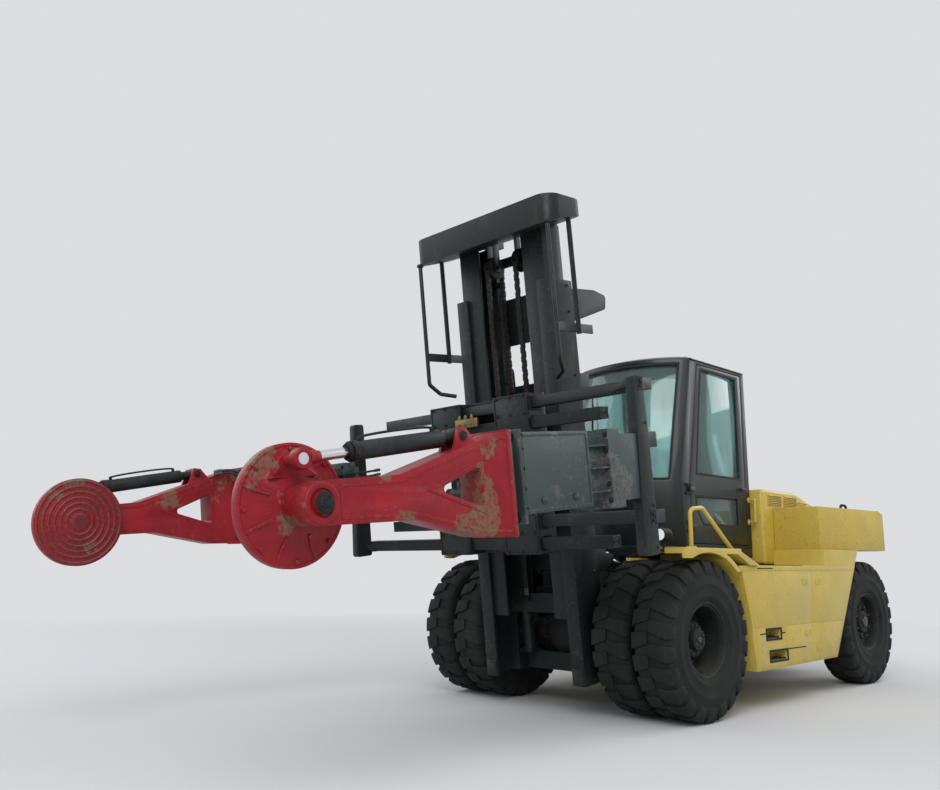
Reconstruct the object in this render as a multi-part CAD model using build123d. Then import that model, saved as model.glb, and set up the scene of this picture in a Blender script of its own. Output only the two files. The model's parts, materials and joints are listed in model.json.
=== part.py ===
from build123d import *
import math
import os

# Tyre handler: a counterbalance truck whose mast carries two sliding arms with turning clamp pads.
# Millimetres. Origin on the ground under the drive axle. The truck faces -Y, +X is its left side.

# Driving dimensions of the truck
WHEELBASE = 3650.0
REAR_OVERHANG = 978.0
REACH_REAR = WHEELBASE + REAR_OVERHANG
TYRE_R = 685.0
TYRE_W = 375.0
RIM_R = 315.0
LUG_H = 26.0
LUG_COUNT = 10
LUG_HALF = 50.0
TYRE_SIDES = 20
DUAL_OUTER_X = 1290.0
DUAL_INNER_X = 872.0
STEER_X = 1200.0
KINGPIN_X = 1040.0
BODY_HALF_W = 1470.0
SKIN = 30.0
RUN = 6.0
SEAT = 0.3
SPINDLE_R = 80.0
STEER_SPINDLE_R = 60.0

# Chassis
RAIL_X0 = 300.0
RAIL_X1 = 430.0
RAIL_Z0 = 560.0
RAIL_Z1 = 1000.0
RAIL_REAR = WHEELBASE + 500
RAIL_FRONT = -100.0
RAIL_TOP = 1250.0
AXLE_R = 190.0
STEER_BEAM_H = 230.0
STEER_BEAM_W = 200.0
STEER_ARM = 215.0
STEER_CYL_R = 62.0
STEER_ROD_R = 38.0
STEER_ROD_HALF = 912.0
STEER_EYE_X = 955.0
TIE_Y = WHEELBASE + STEER_ARM

# Bodywork
FENDER_Z = 1470.0
FENDER_T = 50.0
FENDER_FRONT = -390.0
FENDER_MID = -50.0
FENDER_STRIP_X = 1300.0
FENDER_HALF_W = 1500.0
DECK_Z = 1320.0
BOX_FRONT = 800.0
BOX_BOTTOM = 360.0
BOX_IN_X = 600.0
WING_Z = 1490.0
CW_TOP = 1950.0
CW_HALF_W = 1420.0
CW_FRONT = WHEELBASE - 1250
CW_CORE_HALF_W = 470.0
TOW_Y = REACH_REAR - 98
TOW_R = 26.0
HOOD_HALF_W = 900.0
HOOD_TOP = 2150.0
HOOD_FRONT = 2170.0
HOOD_REAR = WHEELBASE + 50
ENGINE_HALF_W = 270.0
ENGINE_FRONT = 2250.0
ENGINE_REAR = WHEELBASE - 250
ENGINE_TOP = 1750.0

# Cab
CAB_HALF_W = 775.0
CAB_FLOOR = 1500.0
CAB_TOP = 3470.0
CAB_REAR = 2130.0
CAB_WALL = 50.0
CAB_CORNER_LOW = 750.0
CAB_CORNER_HIGH = 1015.0
CAB_BULGE = 330.0
ROOF_T = 60.0
DOOR_GAP = 8.0
HINGE_LINE_X = CAB_HALF_W + 18
HINGE_LINE_Y = 888.0
HINGE_R = 16.0
DOOR_PIN_R = 8.0
HINGE_ZS = (1700.0, 2080.0)
GLASS_T = 10.0
GLASS_IN = 20.0
SILL_Z = 2160.0
HEAD_Z = 3420.0
UPPER_LIGHT = [(1035, 2240), (1950, 2240), (1950, 3390), (1203, 3390)]
LOWER_LIGHT = [(1150, 1720), (1880, 1720), (1880, 2050), (1010, 2030), (1010, 1900)]

# Mast, measured square to itself from a point at its foot and then leaned
LEAN = 7.0
FOOT_Y = -620.0
FOOT_Z = 620.0
OUTER_X = 600.0
OUTER_WEB = 25.0
OUTER_FLANGE = 30.0
OUTER_Y0 = -50.0
OUTER_Y1 = 300.0
OUTER_LIP_X = 460.0
PLATE_Y0 = 400.0
PLATE_Y1 = 430.0
OUTER_BOTTOM = -350.0
OUTER_TOP = 3320.0
INNER_X = 545.0
INNER_Y0 = OUTER_Y0 + OUTER_FLANGE + RUN
INNER_Y1 = OUTER_Y1 - OUTER_FLANGE - RUN - 6
INNER_WEB = 25.0
INNER_FLANGE = 28.0
INNER_LIP_X = 290.0
INNER_BOTTOM = 220.0
CROSSHEAD_HALF_W = 910.0
CROSSHEAD_Y0 = -310.0
CROSSHEAD_Y1 = 205.0
CROSSHEAD_Z0 = 3735.0
CROSSHEAD_Z1 = 4000.0
CROSSHEAD_REAR_Z0 = 3865.0
CROSSHEAD_REAR_Z1 = 3990.0
LIFT_X = 360.0
LIFT_Y = 332.0
LIFT_R = 60.0
LIFT_ROD_R = 35.0
LIFT_BARREL_TOP = 2790.0
CHAIN_X = 185.0
CHAIN_W = 56.0
CHAIN_T = 32.0
SHEAVE_R = 84.0
SHEAVE_Y = 100.0
SHEAVE_Z = CROSSHEAD_Z0 - 135
SHOE_Z = CROSSHEAD_REAR_Z0 + 7
HINGE_Y = 360.0
HINGE_X = 525.0
HINGE_PIN_R = 38.0
TILT_X = 520.0
TILT_EYE_Y = 500.0
TILT_EYE_Z = 700.0
TILT_FOOT = (820.0, 1080.0)
LEAN_RAD = math.radians(LEAN)
TILT_EYE_WORLD_Y = FOOT_Y + TILT_EYE_Y * math.cos(LEAN_RAD) - TILT_EYE_Z * math.sin(LEAN_RAD)
TILT_EYE_WORLD_Z = FOOT_Z + TILT_EYE_Y * math.sin(LEAN_RAD) + TILT_EYE_Z * math.cos(LEAN_RAD)
TILT_EYE = (TILT_EYE_WORLD_Y, TILT_EYE_WORLD_Z)
CHAIN_FRONT_Z = 800.0
ROLLER_X = OUTER_LIP_X - 20
GUARD_R = 20.0
GUARD_REAR_R = 23.0
CHAIN_REAR_Z = 300.0

# Attachment, in the mast's own frame
SLIDE_FAR_X = 1350.0
SLIDE_Y0 = -470.0
SLIDE_Y1 = -350.0
LEFT_BARS = [(2110.0, 2200.0), (1080.0, 1180.0)]
RIGHT_BARS = [(1930.0, 2030.0), (890.0, 990.0)]
HOUSING_X0 = 220.0
HOUSING_X1 = 620.0
HOUSING_WALL = 45.0
CLAMP_Z = (1720.0, 1400.0)
CLAMP_Y = SLIDE_Y0 + 60
CLAMP_ROD_R = 35.0
CARRIER_X0 = 1720.0
CARRIER_X1 = 1800.0
CARRIER_LOW_Y = -670.0
CARRIER_HIGH_Y = -600.0
CARRIER_Y1 = -478.0
CARRIER_Z0 = 850.0
CARRIER_Z1 = 2215.0
BOX_X0 = 1440.0
BOX_X1 = 1750.0
BOX_Y0 = -1900.0
BOX_Y1 = -1170.0
BOX_Z0 = 1260.0
BOX_Z1 = 1800.0
FLANGE_T = 30.0
ARM_Y0 = -2040.0
ARM_X0 = 1600.0
ARM_X1 = 1800.0
ARM_BASE_Z0 = 1136.0
ARM_BASE_Z1 = 1800.0
TIP_Y = -3518.0
TIP_Z = 1451.0
TIP_R = 118.0
TIP_PIN_R = 60.0
PAD_R = 340.0
PAD_X0 = 1475.0
PAD_X1 = 1530.0
LUG_PIN_R = 28.0
LUG_Y = -2435.0
LUG_Z = 1785.0
CRANK_Y = -3565.0
CRANK_Z = 1690.0
PAD_CYL_X = (ARM_X0 + ARM_X1) / 2


def box(x0, x1, y0, y1, z0, z1):
    """Block between six planes."""
    centre = Location(((x0 + x1) / 2, (y0 + y1) / 2, (z0 + z1) / 2))
    return centre * Box(x1 - x0, y1 - y0, z1 - z0)


def bar(start, end, radius):
    """Round bar between two points."""
    axis = Vector(*end) - Vector(*start)
    plane = Plane(origin=start, z_dir=axis.normalized())
    return extrude(plane * Circle(radius), amount=axis.length)


def nut(start, length, radius):
    """Six-sided stud or nut along X."""
    plane = Plane(origin=start, x_dir=(0, 1, 0), z_dir=(1, 0, 0))
    return extrude(plane * RegularPolygon(radius, 6), amount=length)


def tube(start, end, radius, bore):
    """Round tube between two points."""
    return bar(start, end, radius) - bar(start, end, bore)


def prism(axis, points, start, end, radius=0.0):
    """Outline across one axis, filled from start to end along it, its corners rounded."""
    planes = {"x": Plane.YZ, "y": Plane.XZ, "z": Plane.XY}
    ways = {"x": Vector(1, 0, 0), "y": Vector(0, 1, 0), "z": Vector(0, 0, 1)}
    face = make_face(Polyline(*points, close=True))
    if radius:
        face = fillet(face.vertices(), radius)
    way = ways[axis]
    solid = extrude(planes[axis] * face, amount=end - start, dir=way)
    return solid.moved(Location(way * start))


def mirror_x(shape):
    """The same piece on the truck's other side."""
    return mirror(shape, about=Plane.YZ)


def both(shape):
    """The piece and its mirror image, as one node."""
    return Compound(children=[*shape.solids(), *mirror_x(shape).solids()])


def group(*shapes):
    """Several solids kept apart in one node."""
    return Compound(children=[solid for shape in shapes for solid in shape.solids()])


def on_mast(shape):
    """From the mast's own frame to the truck's."""
    return shape.moved(Location((0, FOOT_Y, FOOT_Z), (LEAN, 0, 0)))


def mast_point(y, z):
    """A point of the mast's own frame, in the truck's frame."""
    lean = math.radians(LEAN)
    world_y = FOOT_Y + y * math.cos(lean) - z * math.sin(lean)
    world_z = FOOT_Z + y * math.sin(lean) + z * math.cos(lean)
    return (world_y, world_z)


def save(node, shape):
    """One STEP file for one node."""
    export_step(shape, f"parts/{node}.step")


# Wheels

def tyre_ring():
    """Tyre without its lugs: flat faces from ring to ring and round the bore, to stay light."""
    half = TYRE_W / 2
    bead_r = RIM_R / math.cos(math.pi / TYRE_SIDES)
    profile = [(half - 38, bead_r), (half - 38, RIM_R + 30), (half, 555), (half - 60, TYRE_R - LUG_H)]
    profile += [(-w, r) for w, r in reversed(profile)]
    rings = []
    for w, r in profile:
        angles = [2 * math.pi * index / TYRE_SIDES for index in range(TYRE_SIDES)]
        rings.append([(w, r * math.cos(angle), r * math.sin(angle)) for angle in angles])
    faces = []
    for one, two in zip(rings, rings[1:] + rings[:1]):
        for index in range(TYRE_SIDES):
            after = (index + 1) % TYRE_SIDES
            faces.append(make_face(Polyline(one[index], one[after], two[after], two[index], close=True)))
    return Solid(Shell(faces))


def tyre(centre_x, centre_y):
    """Tyre with shoulder lugs, its axis along X."""
    half = TYRE_W / 2
    body_r = TYRE_R - LUG_H
    carcass = tyre_ring()
    lug_top = math.sqrt(TYRE_R**2 - LUG_HALF**2)
    lugs = []
    for side in (-1, 1):
        lug = box(0, half - 20, -LUG_HALF, LUG_HALF, body_r - 60, lug_top)
        slope = Plane(origin=(half - 20, 0, 615), z_dir=(1.6, 0, 1))
        lug = split(lug, bisect_by=slope, keep=Keep.BOTTOM)
        lug = lug.moved(Location((10, 0, 0), (0, 0, 9)))
        if side < 0:
            lug = mirror(lug, about=Plane.YZ)
        for index in range(LUG_COUNT):
            turn = 360.0 / LUG_COUNT * (index + 0.25 - 0.25 * side)
            lugs.append(Rotation(turn, 0, 0) * lug)
    whole = carcass.fuse(*lugs)
    return whole.moved(Location((centre_x, centre_y, TYRE_R)))


def drive_rims():
    """Twin disc rims with the hub between them, left side."""
    rims = []
    for centre in (DUAL_OUTER_X, DUAL_INNER_X):
        edge = TYRE_W / 2 - 50
        ring = tube((centre - edge, 0, TYRE_R), (centre + edge, 0, TYRE_R), RIM_R, RIM_R - 28)
        rims.append(ring)
    disc_x = DUAL_OUTER_X - 110
    disc = bar((disc_x - 20, 0, TYRE_R), (disc_x + 20, 0, TYRE_R), RIM_R - 20)
    inner_disc = bar((DUAL_INNER_X + 40, 0, TYRE_R), (DUAL_INNER_X + 80, 0, TYRE_R), RIM_R - 20)
    hub = bar((DUAL_INNER_X + 40, 0, TYRE_R), (DUAL_OUTER_X + 25, 0, TYRE_R), 150)
    cap = bar((DUAL_OUTER_X + 25, 0, TYRE_R), (DUAL_OUTER_X + 75, 0, TYRE_R), 95)
    whole = rims[0].fuse(rims[1], disc, inner_disc, hub, cap)
    socket = bar((DUAL_INNER_X - 200, 0, TYRE_R), (DUAL_INNER_X + 190, 0, TYRE_R), SPINDLE_R + RUN)
    seat = bar((DUAL_INNER_X - 200, 0, TYRE_R), (DUAL_INNER_X + 260, 0, TYRE_R), SPINDLE_R + SEAT)
    studs = []
    for index in range(10):
        angle = math.radians(36 * index)
        y = 205 * math.cos(angle)
        z = TYRE_R + 205 * math.sin(angle)
        studs.append(nut((disc_x, y, z), 50, 19))
    return (whole - socket - seat).fuse(*studs)


def steer_rim():
    """Single disc rim with its hub, left side."""
    edge = TYRE_W / 2 - 50
    ring = tube((STEER_X - edge, 0, 0), (STEER_X + edge, 0, 0), RIM_R, RIM_R - 28)
    disc = bar((STEER_X + 20, 0, 0), (STEER_X + 55, 0, 0), RIM_R - 20)
    hub = bar((STEER_X - 40, 0, 0), (STEER_X + 110, 0, 0), 120)
    socket = bar((STEER_X - 60, 0, 0), (STEER_X + 10, 0, 0), STEER_SPINDLE_R + RUN)
    seat = bar((STEER_X - 60, 0, 0), (STEER_X + 60, 0, 0), STEER_SPINDLE_R + SEAT)
    studs = []
    for index in range(8):
        angle = math.radians(45 * index)
        y = 175 * math.cos(angle)
        z = 175 * math.sin(angle)
        studs.append(nut((STEER_X + 40, y, z), 45, 18))
    whole = (ring.fuse(disc, hub) - socket - seat).fuse(*studs)
    return whole.moved(Location((0, WHEELBASE, TYRE_R)))


def knuckle():
    """Steering knuckle with its spindle and arm, left side."""
    boss = bar((KINGPIN_X, WHEELBASE, TYRE_R - 90), (KINGPIN_X, WHEELBASE, TYRE_R + 90), 80)
    spindle = bar((KINGPIN_X, WHEELBASE, TYRE_R), (STEER_X + 55, WHEELBASE, TYRE_R), STEER_SPINDLE_R)
    plan = [(KINGPIN_X - 50, WHEELBASE + 20), (KINGPIN_X + 40, WHEELBASE + 40), (STEER_EYE_X + 28, TIE_Y + 10),
            (STEER_EYE_X - 28, TIE_Y - 10)]
    arm = prism("z", plan, TYRE_R - 30, TYRE_R + 30)
    eye = bar((STEER_EYE_X, TIE_Y, TYRE_R - 30), (STEER_EYE_X, TIE_Y, TYRE_R + 30), 34)
    bore = bar((KINGPIN_X, WHEELBASE, TYRE_R - 100), (KINGPIN_X, WHEELBASE, TYRE_R + 100), 35 + SEAT)
    return boss.fuse(spindle, arm, eye) - bore


def steer_axle():
    """Box beam with kingpin jaws at both ends and the pivot tube in the middle."""
    half = KINGPIN_X - 225
    low = TYRE_R - STEER_BEAM_H / 2
    high = TYRE_R + STEER_BEAM_H / 2
    y0 = WHEELBASE - STEER_BEAM_W / 2
    y1 = WHEELBASE + STEER_BEAM_W / 2
    neck = half - 45
    beam = box(-neck, neck, y0, y1, low, high).fuse(box(-half, half, y0 + 40, y1 - 40, low, high))
    pivot = bar((0, y0 - 35, TYRE_R), (0, y1 + 35, TYRE_R), 90)
    whole = beam.fuse(pivot)
    for z0, z1 in ((low - 30, TYRE_R - 96), (TYRE_R + 96, high + 30)):
        jaw = box(half - 115, KINGPIN_X, WHEELBASE - 75, WHEELBASE + 75, z0, z1)
        jaw = jaw.fuse(bar((KINGPIN_X, WHEELBASE, z0), (KINGPIN_X, WHEELBASE, z1), 75))
        whole = whole.fuse(jaw, mirror_x(jaw))
    pin = bar((KINGPIN_X, WHEELBASE, low - 30), (KINGPIN_X, WHEELBASE, high + 30), 35)
    return whole.fuse(pin, mirror_x(pin), steer_cylinder())


def steer_cylinder():
    """Double-ended steering cylinder's barrel behind the axle."""
    barrel = tube((-280, TIE_Y, TYRE_R), (280, TIE_Y, TYRE_R), STEER_CYL_R, STEER_ROD_R + SEAT)
    foot = box(180, 250, WHEELBASE + STEER_BEAM_W / 2 - 5, TIE_Y - 45, TYRE_R - 45, TYRE_R + 45)
    return barrel.fuse(foot, mirror_x(foot))


def steer_rod():
    """Steering cylinder's through rod."""
    return bar((-STEER_ROD_HALF, TIE_Y, TYRE_R), (STEER_ROD_HALF, TIE_Y, TYRE_R), STEER_ROD_R)


def drive_axle():
    """Axle tube with the differential housing and planetary hub spindles."""
    tube_half = DUAL_INNER_X - TYRE_W / 2 - 30
    beam = bar((-tube_half, 0, TYRE_R), (tube_half, 0, TYRE_R), AXLE_R - 40)
    ball = [(-250, 0), (-250, 150), (-150, 215), (-60, 235), (60, 235), (150, 215), (250, 150), (250, 0)]
    housing = revolve(make_face(Polyline(*ball, close=True)), Axis.X).moved(Location((0, 0, TYRE_R)))
    spindle = bar((-DUAL_INNER_X - 250, 0, TYRE_R), (DUAL_INNER_X + 250, 0, TYRE_R), SPINDLE_R)
    whole = beam.fuse(housing, spindle)
    for side in (-1, 1):
        drum = bar((side * (OUTER_X + 8), 0, TYRE_R), (side * tube_half, 0, TYRE_R), AXLE_R + 30)
        whole = whole.fuse(drum)
    hinge_y, hinge_z = mast_point(HINGE_Y, 0)
    for side in (-1, 1):
        x0 = min(side * (HINGE_X - 32), side * (HINGE_X + 32))
        x1 = max(side * (HINGE_X - 32), side * (HINGE_X + 32))
        outline = [(0, TYRE_R - 140), (hinge_y, hinge_z - 54), (hinge_y, hinge_z + 54), (0, TYRE_R + 140)]
        ear = prism("x", outline, x0, x1)
        knob = bar((x0, hinge_y, hinge_z), (x1, hinge_y, hinge_z), 54)
        pin = bar((x0 - 40, hinge_y, hinge_z), (x1 + 40, hinge_y, hinge_z), HINGE_PIN_R)
        whole = whole.fuse(ear, knob, pin)
    nose = bar((0, 0, TYRE_R), (0, 420, TYRE_R), 110)
    return whole.fuse(nose)


# Chassis and bodywork

def chassis():
    """Two deep rails, cross plates, steer axle hangers and tilt cylinder brackets."""
    over_axle = TYRE_R + AXLE_R - 40
    outline = [(RAIL_FRONT, over_axle), (RAIL_FRONT, RAIL_TOP - 150), (0, RAIL_TOP - 150), (0, RAIL_TOP)]
    outline += [(600, RAIL_TOP), (900, RAIL_Z1), (RAIL_REAR, RAIL_Z1), (RAIL_REAR, 860)]
    outline += [(WHEELBASE - 400, 860), (WHEELBASE - 750, RAIL_Z0), (200, RAIL_Z0), (200, over_axle)]
    rail = prism("x", outline, RAIL_X0, RAIL_X1)
    whole = rail.fuse(mirror_x(rail))
    for y0, y1, z0, z1 in (
        (40, 100, 925, 1240), (500, 560, 620, 1240), (1500, 1560, 600, 980), (2300, 2360, 640, RAIL_Z1),
        (WHEELBASE - 800, WHEELBASE - 740, 640, RAIL_Z1), (RAIL_REAR - 70, RAIL_REAR, 870, 990),
    ):
        whole = whole.fuse(box(-RAIL_X0 - 10, RAIL_X0 + 10, y0, y1, z0, z1))
    reach = BOX_IN_X - SEAT
    for y0 in (1500, 2300):
        whole = whole.fuse(box(RAIL_X1 - 10, reach, y0, y0 + 60, 640, 940))
        whole = whole.fuse(box(-reach, -RAIL_X1 + 10, y0, y0 + 60, 640, 940))
    for y0 in (WHEELBASE - STEER_BEAM_W / 2 - 40, WHEELBASE + STEER_BEAM_W / 2 + 5):
        outline = [(-RAIL_X0 - 10, 900), (-140, 800), (-120, TYRE_R - 110), (120, TYRE_R - 110), (140, 800)]
        outline += [(RAIL_X0 + 10, 900), (RAIL_X0 + 10, RAIL_Z1 - 20), (-RAIL_X0 - 10, RAIL_Z1 - 20)]
        hanger = prism("y", outline, y0, y0 + 35)
        hole = bar((0, y0 - 5, TYRE_R), (0, y0 + 50, TYRE_R), 90 + SEAT)
        whole = whole.fuse(hanger - hole)
    return whole


def tilt_feet():
    """Brackets on the rails' sides with the tilt cylinders' pins."""
    foot_y, foot_z = TILT_FOOT
    outline = [(foot_y - 70, RAIL_Z1 - 60), (foot_y - 50, foot_z + 50), (foot_y + 50, foot_z + 50)]
    outline += [(foot_y + 130, RAIL_Z1 - 60)]
    bracket = prism("x", outline, RAIL_X1 + SEAT, TILT_X - 36)
    pin = bar((RAIL_X1 + SEAT + 5, *TILT_FOOT), (TILT_X + 40, *TILT_FOOT), 35)
    return both(bracket.fuse(pin))


def tank_outline(top):
    """Side view of the body box, with the arch edge in front and the slanted edge behind."""
    foot_y = WHEELBASE - 1130
    slant_y = foot_y + 720 * (top - 380) / 1110
    return [(BOX_FRONT, BOX_BOTTOM), (foot_y, 380), (slant_y, top), (BOX_FRONT - 200, top), (700, 950)]


def side_body():
    """Box on the truck's side: tank, step and battery space behind flush panels, left side."""
    low = prism("x", tank_outline(DECK_Z), BOX_IN_X, BODY_HALF_W)
    y0 = CW_FRONT - 40
    rear = prism("x", [(y0, DECK_Z - 10), (WHEELBASE - 535, DECK_Z - 10), (WHEELBASE - 410, WING_Z), (y0, WING_Z)],
                 HOOD_HALF_W + SEAT, BODY_HALF_W)
    whole = low.fuse(rear)
    wheel_room = bar((BOX_IN_X - 5, 0, TYRE_R), (BODY_HALF_W + 5, 0, TYRE_R), TYRE_R + 65)
    whole = whole - wheel_room
    for y0, y1, z0, z1 in ((1010, 1290, 640, 720), (1060, 1400, 440, 520)):
        whole = whole - box(BODY_HALF_W - 130, BODY_HALF_W + 5, y0, y1, z0, z1)
    return whole


def fender():
    """Fender over the twin wheels: flat top, then down behind them, left side."""
    top = box(CAB_HALF_W + 20, FENDER_HALF_W, FENDER_MID, 560, FENDER_Z - FENDER_T, FENDER_Z)
    top = top.fuse(box(FENDER_STRIP_X, FENDER_HALF_W, FENDER_FRONT, 560, FENDER_Z - FENDER_T, FENDER_Z))
    reach = TYRE_R + 60
    outer = bar((CAB_HALF_W + 20, 0, TYRE_R), (FENDER_HALF_W, 0, TYRE_R), reach + 45)
    inner = bar((CAB_HALF_W + 10, 0, TYRE_R), (FENDER_HALF_W + 10, 0, TYRE_R), reach)
    back = (outer - inner) & box(0, FENDER_HALF_W, 300, 1000, DECK_Z - 60, FENDER_Z)
    fill = prism("x", [(500, FENDER_Z - FENDER_T), (500, FENDER_Z), (900, DECK_Z), (720, DECK_Z)],
                 CAB_HALF_W + 20, FENDER_HALF_W)
    edge = box(FENDER_HALF_W - 30, FENDER_HALF_W, FENDER_FRONT, 300, FENDER_Z - 90, FENDER_Z - 20)
    return (top.fuse(back, fill, edge)) - inner


def grab_rail():
    """Bent tube handrail on the fender, left side."""
    x = 1380.0
    path = FilletPolyline((x, -90, FENDER_Z), (x, -90, 1810), (x, 110, 1830), (x, 640, FENDER_Z - 30),
                          radius=60)
    rail = sweep(Plane(origin=path @ 0, z_dir=path % 0) * Circle(19), path=path)
    return rail - box(x - 60, x + 60, -200, 800, FENDER_Z - 100, FENDER_Z)


def head_lamp():
    """Lamp on a stalk at the fender's front, left side."""
    x = 1240.0
    y = FENDER_FRONT + 90
    shelf = box(x - 60, FENDER_STRIP_X, y - 45, y + 45, FENDER_Z - 40, FENDER_Z - 15)
    stalk = bar((x, y, FENDER_Z - 20), (x, y, FENDER_Z + 60), 16)
    shell = bar((x, y + 50, FENDER_Z + 112), (x, y - 60, FENDER_Z + 112), 58)
    return stalk.fuse(shelf, shell)


def counterweight():
    """Cast weight: wide top over the steer wheels, narrow core between them, tow jaw behind."""
    profile = [(CW_FRONT, WING_Z), (REACH_REAR, WING_Z + 10), (REACH_REAR, 1760), (REACH_REAR - 568, CW_TOP + 20)]
    profile += [(CW_FRONT, CW_TOP)]
    top = prism("x", profile, -CW_HALF_W, CW_HALF_W)
    for side in (-1, 1):
        wide = side * CW_HALF_W * 1.01
        corner = [(wide, REACH_REAR - 478), (wide, REACH_REAR + 172), (side * 1150, REACH_REAR + 172)]
        corner += [(side * 1150, REACH_REAR + 5)]
        top = top - prism("z", corner, WING_Z - 5, CW_TOP + 40)
    room_x = HOOD_HALF_W + 5
    hood_room = box(-room_x, room_x, CW_FRONT - 5, HOOD_REAR + 5, WING_Z - 5, CW_TOP + 40)
    half = CW_CORE_HALF_W
    core_outline = [(-half, RAIL_REAR + SEAT), (half, RAIL_REAR + SEAT), (half, REACH_REAR - 68)]
    core_outline += [(330, REACH_REAR), (-330, REACH_REAR), (-half, REACH_REAR - 68)]
    core = prism("z", core_outline, 560, WING_Z + 100)
    whole = (top - hood_room).fuse(core)
    jaw = box(-110, 110, TOW_Y - 80, REACH_REAR + 5, 700, 800)
    hand_room = box(-110, 110, TOW_Y - 80, REACH_REAR + 5, 850, 1150)
    pin_bore = bar((0, TOW_Y, 540), (0, TOW_Y, 900), TOW_R)
    return whole - jaw - hand_room - pin_bore


def hood():
    """Engine hood, an open-bottomed shell with a sloping tail."""
    outline = [(HOOD_FRONT, WING_Z - 150), (HOOD_FRONT, HOOD_TOP), (HOOD_REAR - 700, HOOD_TOP)]
    outline += [(HOOD_REAR - 200, CW_TOP + 60), (HOOD_REAR, CW_TOP + 50), (HOOD_REAR, WING_Z - 150)]
    shell = prism("x", outline, -HOOD_HALF_W, HOOD_HALF_W)
    front = HOOD_FRONT + SKIN
    inside = [(front, WING_Z - 160), (front, HOOD_TOP - SKIN), (HOOD_REAR - 710, HOOD_TOP - SKIN)]
    inside += [(HOOD_REAR - 210, CW_TOP + 30), (HOOD_REAR - SKIN, CW_TOP + 20), (HOOD_REAR - SKIN, WING_Z - 160)]
    return shell - prism("x", inside, -HOOD_HALF_W + SKIN, HOOD_HALF_W - SKIN)


def engine_block():
    """Engine as one plain block between the rails."""
    return box(-ENGINE_HALF_W, ENGINE_HALF_W, ENGINE_FRONT, ENGINE_REAR, RAIL_Z1 + SEAT, ENGINE_TOP)


# Cab

def cab_section(z, corner_y, inset):
    """Plan of the cab at one height: straight sides and back, bowed front."""
    x = CAB_HALF_W - inset
    front = corner_y + inset * 0.6
    back = CAB_REAR - inset
    bow = ThreePointArc((x, front), (0, front - CAB_BULGE + inset * 0.4), (-x, front))
    sides = Polyline((-x, front), (-x, back), (x, back), (x, front))
    return Plane.XY.offset(z) * make_face(bow.edges() + sides.edges())


def cab_body(inset):
    """Cab's outer form, or the same form inset all round."""
    rise = (CAB_CORNER_HIGH - CAB_CORNER_LOW) / (CAB_TOP - SILL_Z)
    low_y = CAB_CORNER_LOW + 60
    low = cab_section(CAB_FLOOR, low_y, inset)
    sill = cab_section(SILL_Z, CAB_CORNER_LOW, inset)
    high = cab_section(CAB_TOP, CAB_CORNER_LOW + rise * (CAB_TOP - SILL_Z), inset)
    return loft([low, sill], ruled=True).fuse(loft([sill, high], ruled=True))


def door_outline(gap):
    """Side view of the door, smaller all round by a gap."""
    points = [(900 + gap, 1530 + gap), (2050 - gap, 1530 + gap), (2050 - gap, 3430 - gap)]
    return points + [(1135 + gap, 3430 - gap), (900 + gap, 2150)]


def windscreen_cutter():
    """Space of the front glass between the two front pillars."""
    x = CAB_HALF_W - 75
    return prism("y", [(-x, SILL_Z), (x, SILL_Z), (x, HEAD_Z), (-x, HEAD_Z)], 0, CAB_CORNER_HIGH + 90)


def rear_cutter():
    """Space of the rear glass."""
    x = CAB_HALF_W - 110
    outline = [(-x, SILL_Z + 40), (x, SILL_Z + 40), (x, HEAD_Z), (-x, HEAD_Z)]
    return prism("y", outline, CAB_REAR - 100, CAB_REAR + 20)


def cab_frame():
    """Cab shell with pillars, floor and cut windows and doorways."""
    shell = cab_body(0) - cab_body(CAB_WALL)
    floor = cab_body(0) & box(-900, 900, 0, CAB_REAR + 5, CAB_FLOOR, CAB_FLOOR + 30)
    shell = shell.fuse(floor)
    for side in (-1, 1):
        start = side * (CAB_HALF_W + 10)
        end = side * (CAB_HALF_W - CAB_WALL - 10)
        shell = shell - prism("x", door_outline(0), min(start, end), max(start, end))
    shell = shell - windscreen_cutter() - rear_cutter()
    for z in HINGE_ZS:
        line = (HINGE_LINE_X, HINGE_LINE_Y)
        hinge = bar((*line, z - 60), (*line, z + 60), DOOR_PIN_R)
        for low in (z - 60, z + 30):
            strap = box(CAB_HALF_W - 10, HINGE_LINE_X, HINGE_LINE_Y - 60, HINGE_LINE_Y, low, low + 30)
            hinge = hinge.fuse(bar((*line, low), (*line, low + 30), HINGE_R), strap)
        shell = shell.fuse(hinge, mirror_x(hinge))
    return shell


def cab_roof():
    """Crowned roof panel with rounded shoulders."""
    low = cab_section(CAB_TOP, CAB_CORNER_HIGH, 0)
    high = cab_section(CAB_TOP + ROOF_T, CAB_CORNER_HIGH + 70, 130)
    return loft([low, high], ruled=True)


def cab_glass():
    """Front and rear glass, set inside the frame's thickness."""
    sheet = cab_body(GLASS_IN) - cab_body(GLASS_IN + GLASS_T)
    front = sheet & windscreen_cutter()
    rear = sheet & rear_cutter()
    return group(front, rear)


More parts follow.
